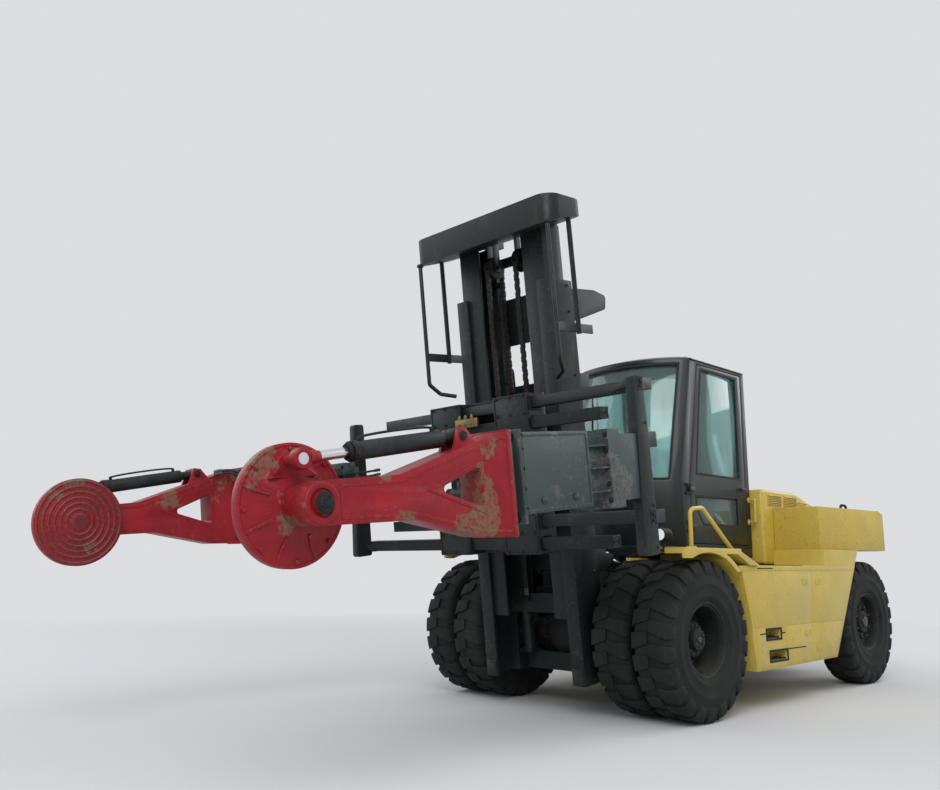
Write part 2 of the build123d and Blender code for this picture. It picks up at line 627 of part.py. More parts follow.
def door():
    """Door leaf with its two lights cut, left side, with its hinge knuckles."""
    leaf = prism("x", door_outline(DOOR_GAP), CAB_HALF_W - CAB_WALL, CAB_HALF_W)
    leaf = leaf - prism("x", UPPER_LIGHT, CAB_HALF_W - 90, CAB_HALF_W + 10)
    leaf = leaf - prism("x", LOWER_LIGHT, CAB_HALF_W - 90, CAB_HALF_W + 10)
    handle = box(CAB_HALF_W - 5, CAB_HALF_W + 35, 1900, 2010, 2120, 2150)
    whole = leaf.fuse(handle)
    for z in HINGE_ZS:
        line = (HINGE_LINE_X, HINGE_LINE_Y)
        sleeve = bar((*line, z - 24), (*line, z + 24), HINGE_R)
        strap = box(CAB_HALF_W + RUN, HINGE_LINE_X, HINGE_LINE_Y + 5, HINGE_LINE_Y + 95, z - 24, z + 24)
        foot = box(CAB_HALF_W - 5, CAB_HALF_W + RUN + 2, HINGE_LINE_Y + 35, HINGE_LINE_Y + 95, z - 24, z + 24)
        hole = bar((*line, z - 30), (*line, z + 30), DOOR_PIN_R + SEAT)
        whole = whole.fuse(sleeve, strap, foot) - hole
    return whole


def door_glass():
    """The door's two panes, left side."""
    x0 = CAB_HALF_W - GLASS_IN - GLASS_T
    x1 = CAB_HALF_W - GLASS_IN
    return group(prism("x", UPPER_LIGHT, x0, x1), prism("x", LOWER_LIGHT, x0, x1))


def cab_base():
    """Cab mount between the fenders, with the cowl in front of it."""
    deck = box(-CAB_HALF_W, CAB_HALF_W, 120, CAB_REAR, FENDER_Z - 70, CAB_FLOOR)
    legs = []
    for y in (200, 1950):
        for side in (-1, 1):
            x0 = side * RAIL_X0
            x1 = side * RAIL_X1
            top = RAIL_Z1 + 250 if y < 600 else RAIL_Z1
            legs.append(box(min(x0, x1), max(x0, x1), y - 60, y + 60, top, FENDER_Z - 60))
    return deck.fuse(*legs)


def seat_base():
    """Seat pedestal."""
    return box(-200, 200, 1450, 1850, CAB_FLOOR + 30, CAB_FLOOR + 330)


def seat():
    """Seat cushion and back, two soft solids."""
    cushion = box(-240, 240, 1330, 1830, CAB_FLOOR + 330, CAB_FLOOR + 450)
    back = prism("x", [(1760, CAB_FLOOR + 450), (1880, CAB_FLOOR + 450), (1980, CAB_FLOOR + 1050),
                       (1880, CAB_FLOOR + 1050)], -230, 230)
    return group(cushion, back)


def steering_column():
    """Dash pedestal, column and steering wheel."""
    dash = box(-330, 330, 760, 930, CAB_FLOOR + 30, CAB_FLOOR + 620)
    column = bar((0, 900, CAB_FLOOR + 500), (0, 1090, CAB_FLOOR + 790), 35)
    hand = Cylinder(200, 30) - Cylinder(168, 40)
    wheel = Location((0, 1090, CAB_FLOOR + 790), (-33, 0, 0)) * hand
    spoke = Location((0, 1090, CAB_FLOOR + 790), (-33, 0, 0)) * Box(360, 40, 16)
    return dash.fuse(column, wheel, spoke)


# Mast, in its own frame

def outer_mast():
    """Two inward channels, cross plates, pivot cheeks and tilt lugs."""
    channel = box(OUTER_X - OUTER_WEB, OUTER_X, OUTER_Y0, OUTER_Y1, OUTER_BOTTOM, OUTER_TOP)
    for y0 in (OUTER_Y0, OUTER_Y1 - OUTER_FLANGE):
        channel = channel.fuse(box(OUTER_LIP_X, OUTER_X, y0, y0 + OUTER_FLANGE, OUTER_BOTTOM, OUTER_TOP))
    whole = channel.fuse(mirror_x(channel))
    for z0, z1 in ((OUTER_BOTTOM, -180), (600, 800), (1500, 1700), (2200, 2440)):
        plate = box(-OUTER_X, OUTER_X, PLATE_Y0, PLATE_Y1, z0, z1)
        cheek = box(OUTER_LIP_X, OUTER_X, OUTER_Y1 - 5, PLATE_Y0 + 5, z0, z1)
        whole = whole.fuse(plate, cheek, mirror_x(cheek))
    whole = whole.fuse(box(-OUTER_X + 5, OUTER_X - 5, OUTER_Y1 - 32, OUTER_Y1 - 8, 2832, 3300))
    anchor = box(CHAIN_X - 35, CHAIN_X + 35, SHEAVE_Y + 130, PLATE_Y0 + 5, 2270, 2350)
    whole = whole.fuse(anchor, mirror_x(anchor))
    outline = [(OUTER_Y1 - 10, 2930), (480, 2990), (800, 3090), (825, 3225), (640, 3265), (OUTER_Y1 - 10, 3250)]
    wing = prism("x", outline, OUTER_X - 22, OUTER_X, radius=40)
    whole = whole.fuse(wing, mirror_x(wing))
    for x in (HINGE_X - 50, HINGE_X + 50):
        cheek = prism("x", [(OUTER_Y1 - 5, -110), (HINGE_Y + 60, -70), (HINGE_Y + 75, 0), (HINGE_Y + 60, 70),
                            (OUTER_Y1 - 5, 140)], x - 12, x + 12)
        cheek = cheek - bar((x - 15, HINGE_Y, 0), (x + 15, HINGE_Y, 0), HINGE_PIN_R + SEAT)
        whole = whole.fuse(cheek, mirror_x(cheek))
    for x in (TILT_X - 56, TILT_X + 56):
        outline = [(OUTER_Y1 - 5, 600), (TILT_EYE_Y + 50, 660), (TILT_EYE_Y + 50, 740), (OUTER_Y1 - 5, 790)]
        lug = prism("x", outline, x - 12, x + 12)
        whole = whole.fuse(lug, mirror_x(lug))
    return whole


def lift_barrels():
    """Two lift cylinder barrels behind the inner channels."""
    barrel = tube((LIFT_X, LIFT_Y, -160), (LIFT_X, LIFT_Y, LIFT_BARREL_TOP), LIFT_R, LIFT_ROD_R + SEAT)
    plan = [(LIFT_X - 60, LIFT_Y - 55), (OUTER_LIP_X - SEAT, LIFT_Y - 55), (OUTER_LIP_X - SEAT, OUTER_Y1 + SEAT)]
    plan += [(OUTER_LIP_X + 60, OUTER_Y1 + SEAT), (OUTER_LIP_X + 60, PLATE_Y0), (LIFT_X - 60, PLATE_Y0)]
    foot = prism("z", plan, -180 + SEAT, -150)
    return both(barrel.fuse(foot))


def crosshead_under(y):
    """Height of the crosshead's sloping underside."""
    share = min((y - CROSSHEAD_Y0) / (CROSSHEAD_Y1 - CROSSHEAD_Y0), 1.0)
    return CROSSHEAD_Z0 + share * (CROSSHEAD_REAR_Z0 - CROSSHEAD_Z0)


def inner_wall(x0, x1, y0, y1):
    """One wall of the inner channel, reaching up to the crosshead's slope."""
    outline = [(y0, INNER_BOTTOM), (y1, INNER_BOTTOM), (y1, crosshead_under(y1))]
    if y0 < CROSSHEAD_Y1 < y1:
        outline += [(CROSSHEAD_Y1, CROSSHEAD_REAR_Z0)]
    return prism("x", outline + [(y0, crosshead_under(y0))], x0, x1)


def inner_mast():
    """Two inward channels joined behind by cross plates."""
    channel = inner_wall(INNER_X - INNER_WEB, INNER_X, INNER_Y0, INNER_Y1)
    for y0 in (INNER_Y0, INNER_Y1 - INNER_FLANGE):
        channel = channel.fuse(inner_wall(INNER_LIP_X, INNER_X, y0, y0 + INNER_FLANGE))
    whole = channel.fuse(mirror_x(channel))
    for z0, z1 in ((INNER_BOTTOM, INNER_BOTTOM + 180), (CROSSHEAD_Z0 - 115, CROSSHEAD_Z0 - 15)):
        plate = box(-INNER_LIP_X - 5, INNER_LIP_X + 5, INNER_Y1 - 22, INNER_Y1, z0, z1)
        whole = whole.fuse(plate)
    return whole


def crosshead():
    """Deep beam with rounded ends across the top of the inner mast, with the chain sheaves under it."""
    half = CROSSHEAD_HALF_W
    plan = [(-half, CROSSHEAD_Y0), (half, CROSSHEAD_Y0), (half, CROSSHEAD_Y1), (-half, CROSSHEAD_Y1)]
    beam = prism("z", plan, CROSSHEAD_Z0 - 10, CROSSHEAD_Z1 + 10, radius=150)
    side = [(CROSSHEAD_Y0, CROSSHEAD_Z0), (CROSSHEAD_Y1, CROSSHEAD_REAR_Z0), (CROSSHEAD_Y1, CROSSHEAD_REAR_Z1)]
    beam = beam & prism("x", side + [(CROSSHEAD_Y0, CROSSHEAD_Z1)], -half - 5, half + 5)
    shoe = box(LIFT_X - 70, LIFT_X + 70, CROSSHEAD_Y1 - 60, LIFT_Y + 55, SHOE_Z, SHOE_Z + 75)
    whole = beam.fuse(shoe, mirror_x(shoe))
    for x in (-CHAIN_X, CHAIN_X):
        half_w = CHAIN_W / 2
        axle = bar((x - half_w - 26, SHEAVE_Y, SHEAVE_Z), (x + half_w + 26, SHEAVE_Y, SHEAVE_Z), 25)
        wheel = bar((x - half_w, SHEAVE_Y, SHEAVE_Z), (x + half_w, SHEAVE_Y, SHEAVE_Z), SHEAVE_R - 0.3)
        whole = whole.fuse(axle, wheel)
        for ear_x in (x - half_w - 20, x + half_w + 8):
            ear = box(ear_x, ear_x + 12, SHEAVE_Y - 40, SHEAVE_Y + 40, SHEAVE_Z - 40, SHOE_Z)
            whole = whole.fuse(ear)
    return whole.fuse(*hose_guards().solids())


def lift_chains():
    """Leaf chains over the sheaves: front run towards the carriage, rear run towards the outer mast."""
    half_w = CHAIN_W / 2
    outer = SHEAVE_R + CHAIN_T
    turn = bar((CHAIN_X - half_w, SHEAVE_Y, SHEAVE_Z), (CHAIN_X + half_w, SHEAVE_Y, SHEAVE_Z), outer)
    turn = turn - bar((CHAIN_X - 50, SHEAVE_Y, SHEAVE_Z), (CHAIN_X + 50, SHEAVE_Y, SHEAVE_Z), SHEAVE_R)
    turn = turn - box(CHAIN_X - 50, CHAIN_X + 50, SHEAVE_Y - 200, SHEAVE_Y + 200, SHEAVE_Z - 200, SHEAVE_Z)
    x0 = CHAIN_X - half_w
    x1 = CHAIN_X + half_w
    front = box(x0, x1, SHEAVE_Y - outer, SHEAVE_Y - SHEAVE_R, CHAIN_FRONT_Z, SHEAVE_Z)
    rear = box(x0, x1, SHEAVE_Y + SHEAVE_R, SHEAVE_Y + outer, CHAIN_REAR_Z, SHEAVE_Z)
    return both(turn.fuse(front, rear))


def hose_guards():
    """Bent bar guards below the crosshead's ends, with the hook that leads the hoses to the mast."""
    x = 850.0
    hook = [(x - 50, -190, 2420), (x - 190, -110, 2380)]
    path = FilletPolyline((x, -285, CROSSHEAD_Z0 + 25), (x, -285, 2520), *hook, radius=50)
    front = sweep(Plane(origin=path @ 0, z_dir=path % 0) * Circle(GUARD_R), path=path)
    rear = bar((x, 20, 2750), (x, 20, CROSSHEAD_Z0 + 105), GUARD_REAR_R)
    cross = box(x - 9, x + 9, -285, 215, 2760, 2840)
    return both(front.fuse(rear, cross))


def lift_rods():
    """Lift cylinder rods under the crosshead."""
    return both(bar((LIFT_X, LIFT_Y, 700), (LIFT_X, LIFT_Y, SHOE_Z), LIFT_ROD_R))


# Attachment, in the mast's own frame

def carriage():
    """Roller plates inside the mast and the cross plates that carry the slide frame."""
    x1 = INNER_LIP_X - 2 * RUN
    plate = box(x1 - 35, x1, SLIDE_Y1 + 80, INNER_Y1 - 60, 950, 2150)
    mid_y = (INNER_Y0 + INNER_Y1) / 2
    roller_r = (INNER_Y1 - INNER_Y0) / 2 - INNER_FLANGE - SEAT
    for z in (1080, 2020):
        roller = bar((x1 - 5, mid_y, z), (ROLLER_X, mid_y, z), roller_r)
        plate = plate.fuse(roller)
    whole = plate.fuse(mirror_x(plate))
    for z0, z1 in ((1240, 1420), (1700, 1880)):
        whole = whole.fuse(box(-x1 + 5, x1 - 5, SLIDE_Y1 + 80, SLIDE_Y1 + 120, z0, z1))
    reach = SHEAVE_Y - SHEAVE_R - CHAIN_T - RUN
    anchor = box(CHAIN_X - 30, CHAIN_X + 30, SLIDE_Y1 + 100, reach, 1270, 1390)
    return whole.fuse(anchor, mirror_x(anchor))


def slide_frame():
    """Guide housings for the four slide bars, joined by a back plate."""
    top = LEFT_BARS[0][1]
    bottom = RIGHT_BARS[1][0]
    whole = box(-HOUSING_X1, HOUSING_X1, SLIDE_Y1 + 35, SLIDE_Y1 + 80, bottom - 40, top + 50)
    for low, high in ((RIGHT_BARS[0][0], LEFT_BARS[0][1]), (RIGHT_BARS[1][0], LEFT_BARS[1][1])):
        for side in (-1, 1):
            x0 = min(side * HOUSING_X0, side * HOUSING_X1)
            x1 = max(side * HOUSING_X0, side * HOUSING_X1)
            whole = whole.fuse(box(x0, x1, SLIDE_Y0 - HOUSING_WALL, SLIDE_Y1 + 40, low - 40, high + 40))
    for z0, z1 in LEFT_BARS + RIGHT_BARS:
        room = box(-HOUSING_X1 - 5, HOUSING_X1 + 5, SLIDE_Y0 - RUN, SLIDE_Y1 + RUN, z0 - RUN, z1 + RUN)
        whole = whole - room
    for z, side in ((CLAMP_Z[0], -1), (CLAMP_Z[1], 1)):
        x = side * (HOUSING_X1 - 60)
        lug = box(min(x, x + side * 60), max(x, x + side * 60), SLIDE_Y0 - 10, SLIDE_Y1 + 40, z - 80, z + 80)
        whole = whole.fuse(lug)
    return whole


def clamp_barrels():
    """Two clamp cylinder barrels between the upper and lower slide bars."""
    far = HOUSING_X1 - 60
    left = tube((-far, CLAMP_Y, CLAMP_Z[0]), (540, CLAMP_Y, CLAMP_Z[0]), 62, CLAMP_ROD_R + SEAT)
    right = tube((-540, CLAMP_Y, CLAMP_Z[1]), (far, CLAMP_Y, CLAMP_Z[1]), 62, CLAMP_ROD_R + SEAT)
    return group(left, right)


def carrier_front(z):
    """Front edge of the carrier's end plate at one height."""
    share = (z - CARRIER_Z0) / (CARRIER_Z1 - CARRIER_Z0)
    return CARRIER_LOW_Y + share * (CARRIER_HIGH_Y - CARRIER_LOW_Y)


def arm_carrier(bars, clamp_z):
    """Tall end plate with its two slide bars and the clamp cylinder's rod, as if on the left side."""
    outline = [(CARRIER_LOW_Y, CARRIER_Z0), (CARRIER_Y1, CARRIER_Z0), (CARRIER_Y1, CARRIER_Z1)]
    whole = prism("x", outline + [(CARRIER_HIGH_Y, CARRIER_Z1)], CARRIER_X0, CARRIER_X1, radius=30)
    for z0, z1 in bars:
        slide = box(-SLIDE_FAR_X, CARRIER_X1 - 10, SLIDE_Y0, SLIDE_Y1, z0, z1)
        block = box(CARRIER_X0 - 80, CARRIER_X1 - 10, CARRIER_Y1 - 40, SLIDE_Y1, z0, z1)
        plan = [(CARRIER_X0 - 240, SLIDE_Y0 + 5), (CARRIER_X0 + 5, SLIDE_Y0 + 5)]
        plan += [(CARRIER_X0 + 5, CARRIER_HIGH_Y + 40), (CARRIER_X0 - 60, CARRIER_HIGH_Y + 40)]
        rib = prism("z", plan, z0 + 20, z1 - 20)
        whole = whole.fuse(slide, block, rib)
    lug = box(CARRIER_X0 - 40, CARRIER_X1 - 10, CARRIER_Y1 - 40, CLAMP_Y + 50, clamp_z - 60, clamp_z + 60)
    rod = bar((20, CLAMP_Y, clamp_z), (CARRIER_X0, CLAMP_Y, clamp_z), CLAMP_ROD_R)
    return whole.fuse(lug, rod)


def arm_box():
    """Deep box arm ahead of the carrier with its bolted joints at both ends, left side."""
    shell = box(BOX_X0, BOX_X1, BOX_Y0, BOX_Y1, BOX_Z0, BOX_Z1)
    flange = box(BOX_X0 - 20, BOX_X1 + 20, BOX_Y0 - FLANGE_T, BOX_Y0, BOX_Z0 - 60, BOX_Z1 + 20)
    spacer = box(BOX_X0 + 50, BOX_X1 - 40, ARM_Y0, BOX_Y0 - FLANGE_T, BOX_Z0 + 30, BOX_Z1 - 70)
    throat = box(BOX_X0 + 40, BOX_X1 - 30, BOX_Y1, BOX_Y1 + 180, BOX_Z0 + 40, BOX_Z1 - 40)
    rear = box(BOX_X0 - 10, CARRIER_X1 - 10, BOX_Y1 + 180, BOX_Y1 + 330, BOX_Z0 - 30, BOX_Z1 + 10)
    front = BOX_Y1 + 325
    low = BOX_Z0 + 20
    high = BOX_Z1 - 30
    outline = [(front, low), (carrier_front(low), low), (carrier_front(high), high), (front, high)]
    neck = prism("x", outline, CARRIER_X0 - 60, CARRIER_X1 - 10)
    return shell.fuse(flange, spacer, throat, rear, neck)


def arm():
    """Tapered arm with the three-cornered hole, cranked tip eye and cylinder lug, left side."""
    outline = [(ARM_Y0, ARM_BASE_Z0), (ARM_Y0, ARM_BASE_Z1), (-2140, ARM_BASE_Z1), (-2980, 1572)]
    outline += [(TIP_Y, TIP_Z + TIP_R), (TIP_Y, TIP_Z - TIP_R), (-3077, 1315), (-2857, 1307), (-2330, 1160)]
    side = prism("x", outline, ARM_X0, ARM_X1)
    side = side.fuse(bar((ARM_X0, TIP_Y, TIP_Z), (ARM_X1, TIP_Y, TIP_Z), TIP_R))
    window = prism("x", [(-2330, 1595), (-2330, 1335), (-2700, 1470)], ARM_X0 - 5, ARM_X1 + 5, radius=25)
    foot = box(BOX_X0 - 20, ARM_X1 + 5, ARM_Y0 - 40, ARM_Y0, ARM_BASE_Z0 - 4, ARM_BASE_Z1 + 16)
    bore = bar((ARM_X0 - 5, TIP_Y, TIP_Z), (ARM_X1 + 5, TIP_Y, TIP_Z), TIP_PIN_R + SEAT)
    cheek = [(-2540, 1640), (LUG_Y - 35, LUG_Z + 45), (LUG_Y + 35, LUG_Z + 45), (-2310, 1720)]
    pin = bar((PAD_CYL_X - 75, LUG_Y, LUG_Z), (PAD_CYL_X + 75, LUG_Y, LUG_Z), LUG_PIN_R)
    whole = (side - window - bore).fuse(foot, pin)
    for x in (PAD_CYL_X - 60, PAD_CYL_X + 60):
        whole = whole.fuse(prism("x", cheek, x - 12, x + 12))
    return whole


def pad():
    """Clamp pad: disc, coned hub, pin through the arm's tip and crank lug, left side."""
    disc = bar((PAD_X0, TIP_Y, TIP_Z), (PAD_X1, TIP_Y, TIP_Z), PAD_R)
    cone = Plane.YZ.offset(PAD_X1) * Pos(TIP_Y, TIP_Z) * Circle(PAD_R - 90)
    nose = Plane.YZ.offset(ARM_X0 - RUN) * Pos(TIP_Y, TIP_Z) * Circle(TIP_R)
    hub = loft([cone, nose])
    pin = bar((ARM_X0 - RUN - 5, TIP_Y, TIP_Z), (ARM_X1 + 25, TIP_Y, TIP_Z), TIP_PIN_R)
    return disc.fuse(hub, pin)


def pad_lug():
    """Crank lug on the pad, beside the rod's eye, left side."""
    cheek = prism("x", [(TIP_Y - 160, TIP_Z + 150), (CRANK_Y - 60, CRANK_Z), (CRANK_Y, CRANK_Z + 60),
                        (CRANK_Y + 60, CRANK_Z), (TIP_Y + 140, TIP_Z + 150)], PAD_X1 - 5, PAD_X1 + 45)
    pin = bar((PAD_X1, CRANK_Y, CRANK_Z), (PAD_CYL_X - 35, CRANK_Y, CRANK_Z), 30)
    return cheek.fuse(pin)


def pad_cylinder():
    """Pad turning cylinder's barrel on the arm's lug, left side."""
    x = PAD_CYL_X
    way = Vector(0, CRANK_Y - LUG_Y, CRANK_Z - LUG_Z).normalized()
    root = Vector(x, LUG_Y, LUG_Z)
    neck = bar(tuple(root), tuple(root + way * 140), 36)
    barrel = bar(tuple(root + way * 130), tuple(root + way * 790), 54)
    eye = bar((x - 42, LUG_Y, LUG_Z), (x + 42, LUG_Y, LUG_Z), 52)
    hole = bar((x - 45, LUG_Y, LUG_Z), (x + 45, LUG_Y, LUG_Z), LUG_PIN_R + SEAT)
    bore = bar(tuple(root + way * 160), tuple(root + way * 800), 30 + SEAT)
    return neck.fuse(barrel, eye) - hole - bore


def pad_rod():
    """Pad turning cylinder's rod with its eye, left side."""
    x = PAD_CYL_X
    way = Vector(0, CRANK_Y - LUG_Y, CRANK_Z - LUG_Z).normalized()
    root = Vector(x, LUG_Y, LUG_Z)
    tip = Vector(x, CRANK_Y, CRANK_Z)
    rod = bar(tuple(root + way * 420), tuple(tip), 30)
    eye = bar((x - 30, CRANK_Y, CRANK_Z), (x + 30, CRANK_Y, CRANK_Z), 55)
    return rod.fuse(eye)


# Tilt cylinders, in the truck's frame

def tilt_cylinder():
    """Tilt cylinder's barrel on the chassis, left side."""
    way = Vector(0, TILT_EYE[0] - TILT_FOOT[0], TILT_EYE[1] - TILT_FOOT[1]).normalized()
    root = Vector(TILT_X, *TILT_FOOT)
    neck = bar(tuple(root), tuple(root + way * 150), 29)
    barrel = neck.fuse(bar(tuple(root + way * 140), tuple(root + way * 720), 72))
    barrel = barrel - bar(tuple(root + way * 180), tuple(root + way * 730), 40 + SEAT)
    eye = bar((TILT_X - 30, *TILT_FOOT), (TILT_X + 30, *TILT_FOOT), 66)
    hole = bar((TILT_X - 45, *TILT_FOOT), (TILT_X + 45, *TILT_FOOT), 35 + SEAT)
    return barrel.fuse(eye) - hole


def tilt_rod():
    """Tilt cylinder's rod with its eye beside the mast's lug, left side."""
    way = Vector(0, TILT_EYE[0] - TILT_FOOT[0], TILT_EYE[1] - TILT_FOOT[1]).normalized()
    root = Vector(TILT_X, *TILT_FOOT)
    rod = bar(tuple(root + way * 355), (TILT_X, *TILT_EYE), 40)
    eye = bar((TILT_X - 30, *TILT_EYE), (TILT_X + 30, *TILT_EYE), 65)
    return rod.fuse(eye)


def main():
    """Write every node."""
    os.makedirs("parts", exist_ok=True)
    save("chassis", chassis())
    save("tilt_feet", tilt_feet())
    save("drive_axle", drive_axle())
    save("steer_axle", steer_axle())
    save("steer_rod", steer_rod())
    save("engine_block", engine_block())
    save("counterweight", counterweight())
    save("hood", hood())
    save("cab_base", cab_base())
    save("cab_frame", cab_frame())
    save("cab_roof", cab_roof())
    save("cab_glass", cab_glass())
    save("seat_base", seat_base())
    save("seat", seat())
    save("steering_column", steering_column())
    save("outer_mast", on_mast(outer_mast()))
    save("lift_barrels", on_mast(lift_barrels()))
    save("inner_mast", on_mast(inner_mast()))
    save("crosshead", on_mast(crosshead()))
    save("lift_rods", on_mast(lift_rods()))
    save("lift_chains", on_mast(lift_chains()))
    save("carriage", on_mast(carriage()))
    save("slide_frame", on_mast(slide_frame()))
    save("clamp_barrels", on_mast(clamp_barrels()))
    save("side_bodies", both(side_body()))
    save("fenders", both(fender()))
    save("grab_rails", both(grab_rail()))
    save("head_lamps", both(head_lamp()))
    sided = {
        "drive_tyres": group(tyre(DUAL_OUTER_X, 0), tyre(DUAL_INNER_X, 0)),
        "drive_rims": drive_rims(),
        "steer_tyre": tyre(STEER_X, WHEELBASE),
        "steer_rim": steer_rim(),
        "knuckle": knuckle(),
        "door": door(),
        "door_glass": door_glass(),
        "tilt_cylinder": tilt_cylinder(),
        "tilt_rod": tilt_rod(),
        "arm_box": on_mast(arm_box()),
        "arm": on_mast(arm()),
        "pad": on_mast(pad().fuse(pad_lug())),
        "pad_cylinder": on_mast(pad_cylinder()),
        "pad_rod": on_mast(pad_rod()),
    }
    for name, shape in sided.items():
        save(f"{name}_left", shape)
        save(f"{name}_right", mirror_x(shape))
    save("arm_carrier_left", on_mast(arm_carrier(LEFT_BARS, CLAMP_Z[0])))
    save("arm_carrier_right", on_mast(mirror_x(arm_carrier(RIGHT_BARS, CLAMP_Z[1]))))


main()
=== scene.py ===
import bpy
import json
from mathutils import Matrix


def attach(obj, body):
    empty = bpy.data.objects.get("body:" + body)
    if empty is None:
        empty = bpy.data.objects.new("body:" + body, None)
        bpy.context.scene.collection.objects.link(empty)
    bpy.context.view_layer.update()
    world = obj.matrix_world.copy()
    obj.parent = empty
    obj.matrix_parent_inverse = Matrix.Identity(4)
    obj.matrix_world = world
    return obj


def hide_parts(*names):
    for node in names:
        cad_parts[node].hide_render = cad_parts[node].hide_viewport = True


bl_info = {
    "name": "Tyre handler",
    "version": (1, 0, 0),
    "blender": (4, 5, 0),
    "location": "View3D > Sidebar > Tyre handler",
    "description": "Looks of a counterbalance truck with a two-armed tyre clamp",
    "category": "Object",
}

import json
import math

import bmesh
import bpy
from mathutils import Matrix, Vector

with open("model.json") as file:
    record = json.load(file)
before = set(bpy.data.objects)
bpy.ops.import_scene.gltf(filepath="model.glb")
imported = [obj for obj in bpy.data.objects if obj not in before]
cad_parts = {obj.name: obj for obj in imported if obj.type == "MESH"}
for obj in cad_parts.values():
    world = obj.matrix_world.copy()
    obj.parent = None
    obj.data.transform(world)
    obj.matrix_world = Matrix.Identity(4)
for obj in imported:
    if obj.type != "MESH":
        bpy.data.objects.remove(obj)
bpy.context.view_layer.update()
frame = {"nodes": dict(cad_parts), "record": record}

# Places in metres, in the frame's axes: the truck faces -Y and its left side is +X.
FOOT_Y = -0.62
FOOT_Z = 0.62
LEAN = math.radians(7.0)
WHEEL_R = 0.685
RIM_R = 0.315
TYRE_W = 0.375
DRIVE_XS = (1.29, 0.872)
STEER_X = 1.2
STEER_Y = 3.65
BODY_X = 1.47
MAST = Matrix.Translation((0, FOOT_Y, FOOT_Z)) @ Matrix.Rotation(LEAN, 4, "X")
TRUCK = Matrix.Identity(4)
SIDES = (("left", 1), ("right", -1))
KINGPIN_X = 1.04
TILT_FOOT = Vector((0, 0.82, 1.08))
UP = Vector((0, 0, 1))

# Edges sharper than these are bevelled or shaded sharp, and flatter ones dissolved
BEVEL_ANGLE = math.radians(32)
SHARP_ANGLE = math.radians(35)
FLAT_ANGLE = math.radians(0.6)

# Places in the mast's own frame, before it leans
TIP_Y = -3.518
TIP_Z = 1.451
CLAMP_Y = -0.41
CHAIN_X = 0.185
SHEAVE_Y = 0.1
SHEAVE_Z = 3.6
TILT_EYE = Vector((0, 0.5, 0.7))
LEFT_BARS = ((2.11, 2.2), (1.08, 1.18))
RIGHT_BARS = ((1.93, 2.03), (0.89, 0.99))

# Colours that no setting changes, and the camera's place
DUST = (0.36, 0.34, 0.3)
DIRT = (0.13, 0.11, 0.085)
TYRE_DUST = (0.03, 0.031, 0.03)
BACKGROUND = (0.715, 0.725, 0.745)
CAMERA_PLACE = (5.59311, -6.915, 1.32819)
CAMERA_RIGHT = (0.69824, 0.71585, 0.00471)
CAMERA_UP = (0.13224, -0.13545, 0.98192)


def props():
    """The settings that the sidebar shows."""
    return bpy.context.scene.tyre_handler


# Shader groups

class Wires:
    """Adds and joins nodes of one tree."""

    def __init__(self, tree):
        self.tree = tree

    def node(self, kind, **values):
        made = self.tree.nodes.new(kind)
        for key, value in values.items():
            setattr(made, key, value)
        return made

    def link(self, source, target):
        self.tree.links.new(source, target)

    def put(self, socket, value):
        """Sets a socket to a value, or joins it to another socket."""
        if isinstance(value, bpy.types.NodeSocket):
            self.link(value, socket)
        elif isinstance(value, (tuple, list)) and len(value) == 3 and socket.type == "RGBA":
            socket.default_value = (*value, 1.0)
        else:
            socket.default_value = value

    def maths(self, operation, first, second=0.0, third=0.0, clamp=False):
        made = self.node("ShaderNodeMath", operation=operation, use_clamp=clamp)
        for socket, value in zip(made.inputs, (first, second, third)):
            self.put(socket, value)
        return made.outputs[0]

    def fill(self, node, **values):
        """Sets or joins several inputs of a node, with an underscore for each space in their names."""
        for key, value in values.items():
            self.put(node.inputs[key.replace("_", " ")], value)
        return node

    def place(self):
        """The object's own coordinates."""
        return self.node("ShaderNodeTexCoord").outputs["Object"]

    def height(self, vector):
        """The Z part of a vector."""
        return self.fill(self.node("ShaderNodeSeparateXYZ"), Vector=vector).outputs["Z"]

    def span(self, value, low, high, to_low=0.0, to_high=1.0):
        """Carries a value from one span over to another, held within it."""
        return self.fill(self.node("ShaderNodeMapRange", clamp=True), Value=value, From_Min=low, From_Max=high,
                         To_Min=to_low, To_Max=to_high).outputs[0]

    def noise(self, vector, scale, detail=4.0, rough=0.55):
        return self.fill(self.node("ShaderNodeTexNoise"), Vector=vector, Scale=scale, Detail=detail,
                         Roughness=rough).outputs["Fac"]

    def mix(self, factor, first, second):
        made = self.node("ShaderNodeMix", data_type="RGBA")
        for socket, value in (("Factor", factor), (6, first), (7, second)):
            self.put(made.inputs[socket], value)
        return made.outputs[2]


def shader_group(name, inputs, outputs):
    """A new group with named float inputs and outputs, and its wires."""
    tree = bpy.data.node_groups.new(name, "ShaderNodeTree")
    for label, value in inputs:
        socket = tree.interface.new_socket(name=label, in_out="INPUT", socket_type="NodeSocketFloat")
        socket.default_value = value
    for label in outputs:
        tree.interface.new_socket(name=label, in_out="OUTPUT", socket_type="NodeSocketFloat")
    GROUPS[name] = tree
    wires = Wires(tree)
    return wires, wires.node("NodeGroupInput").outputs, wires.node("NodeGroupOutput")


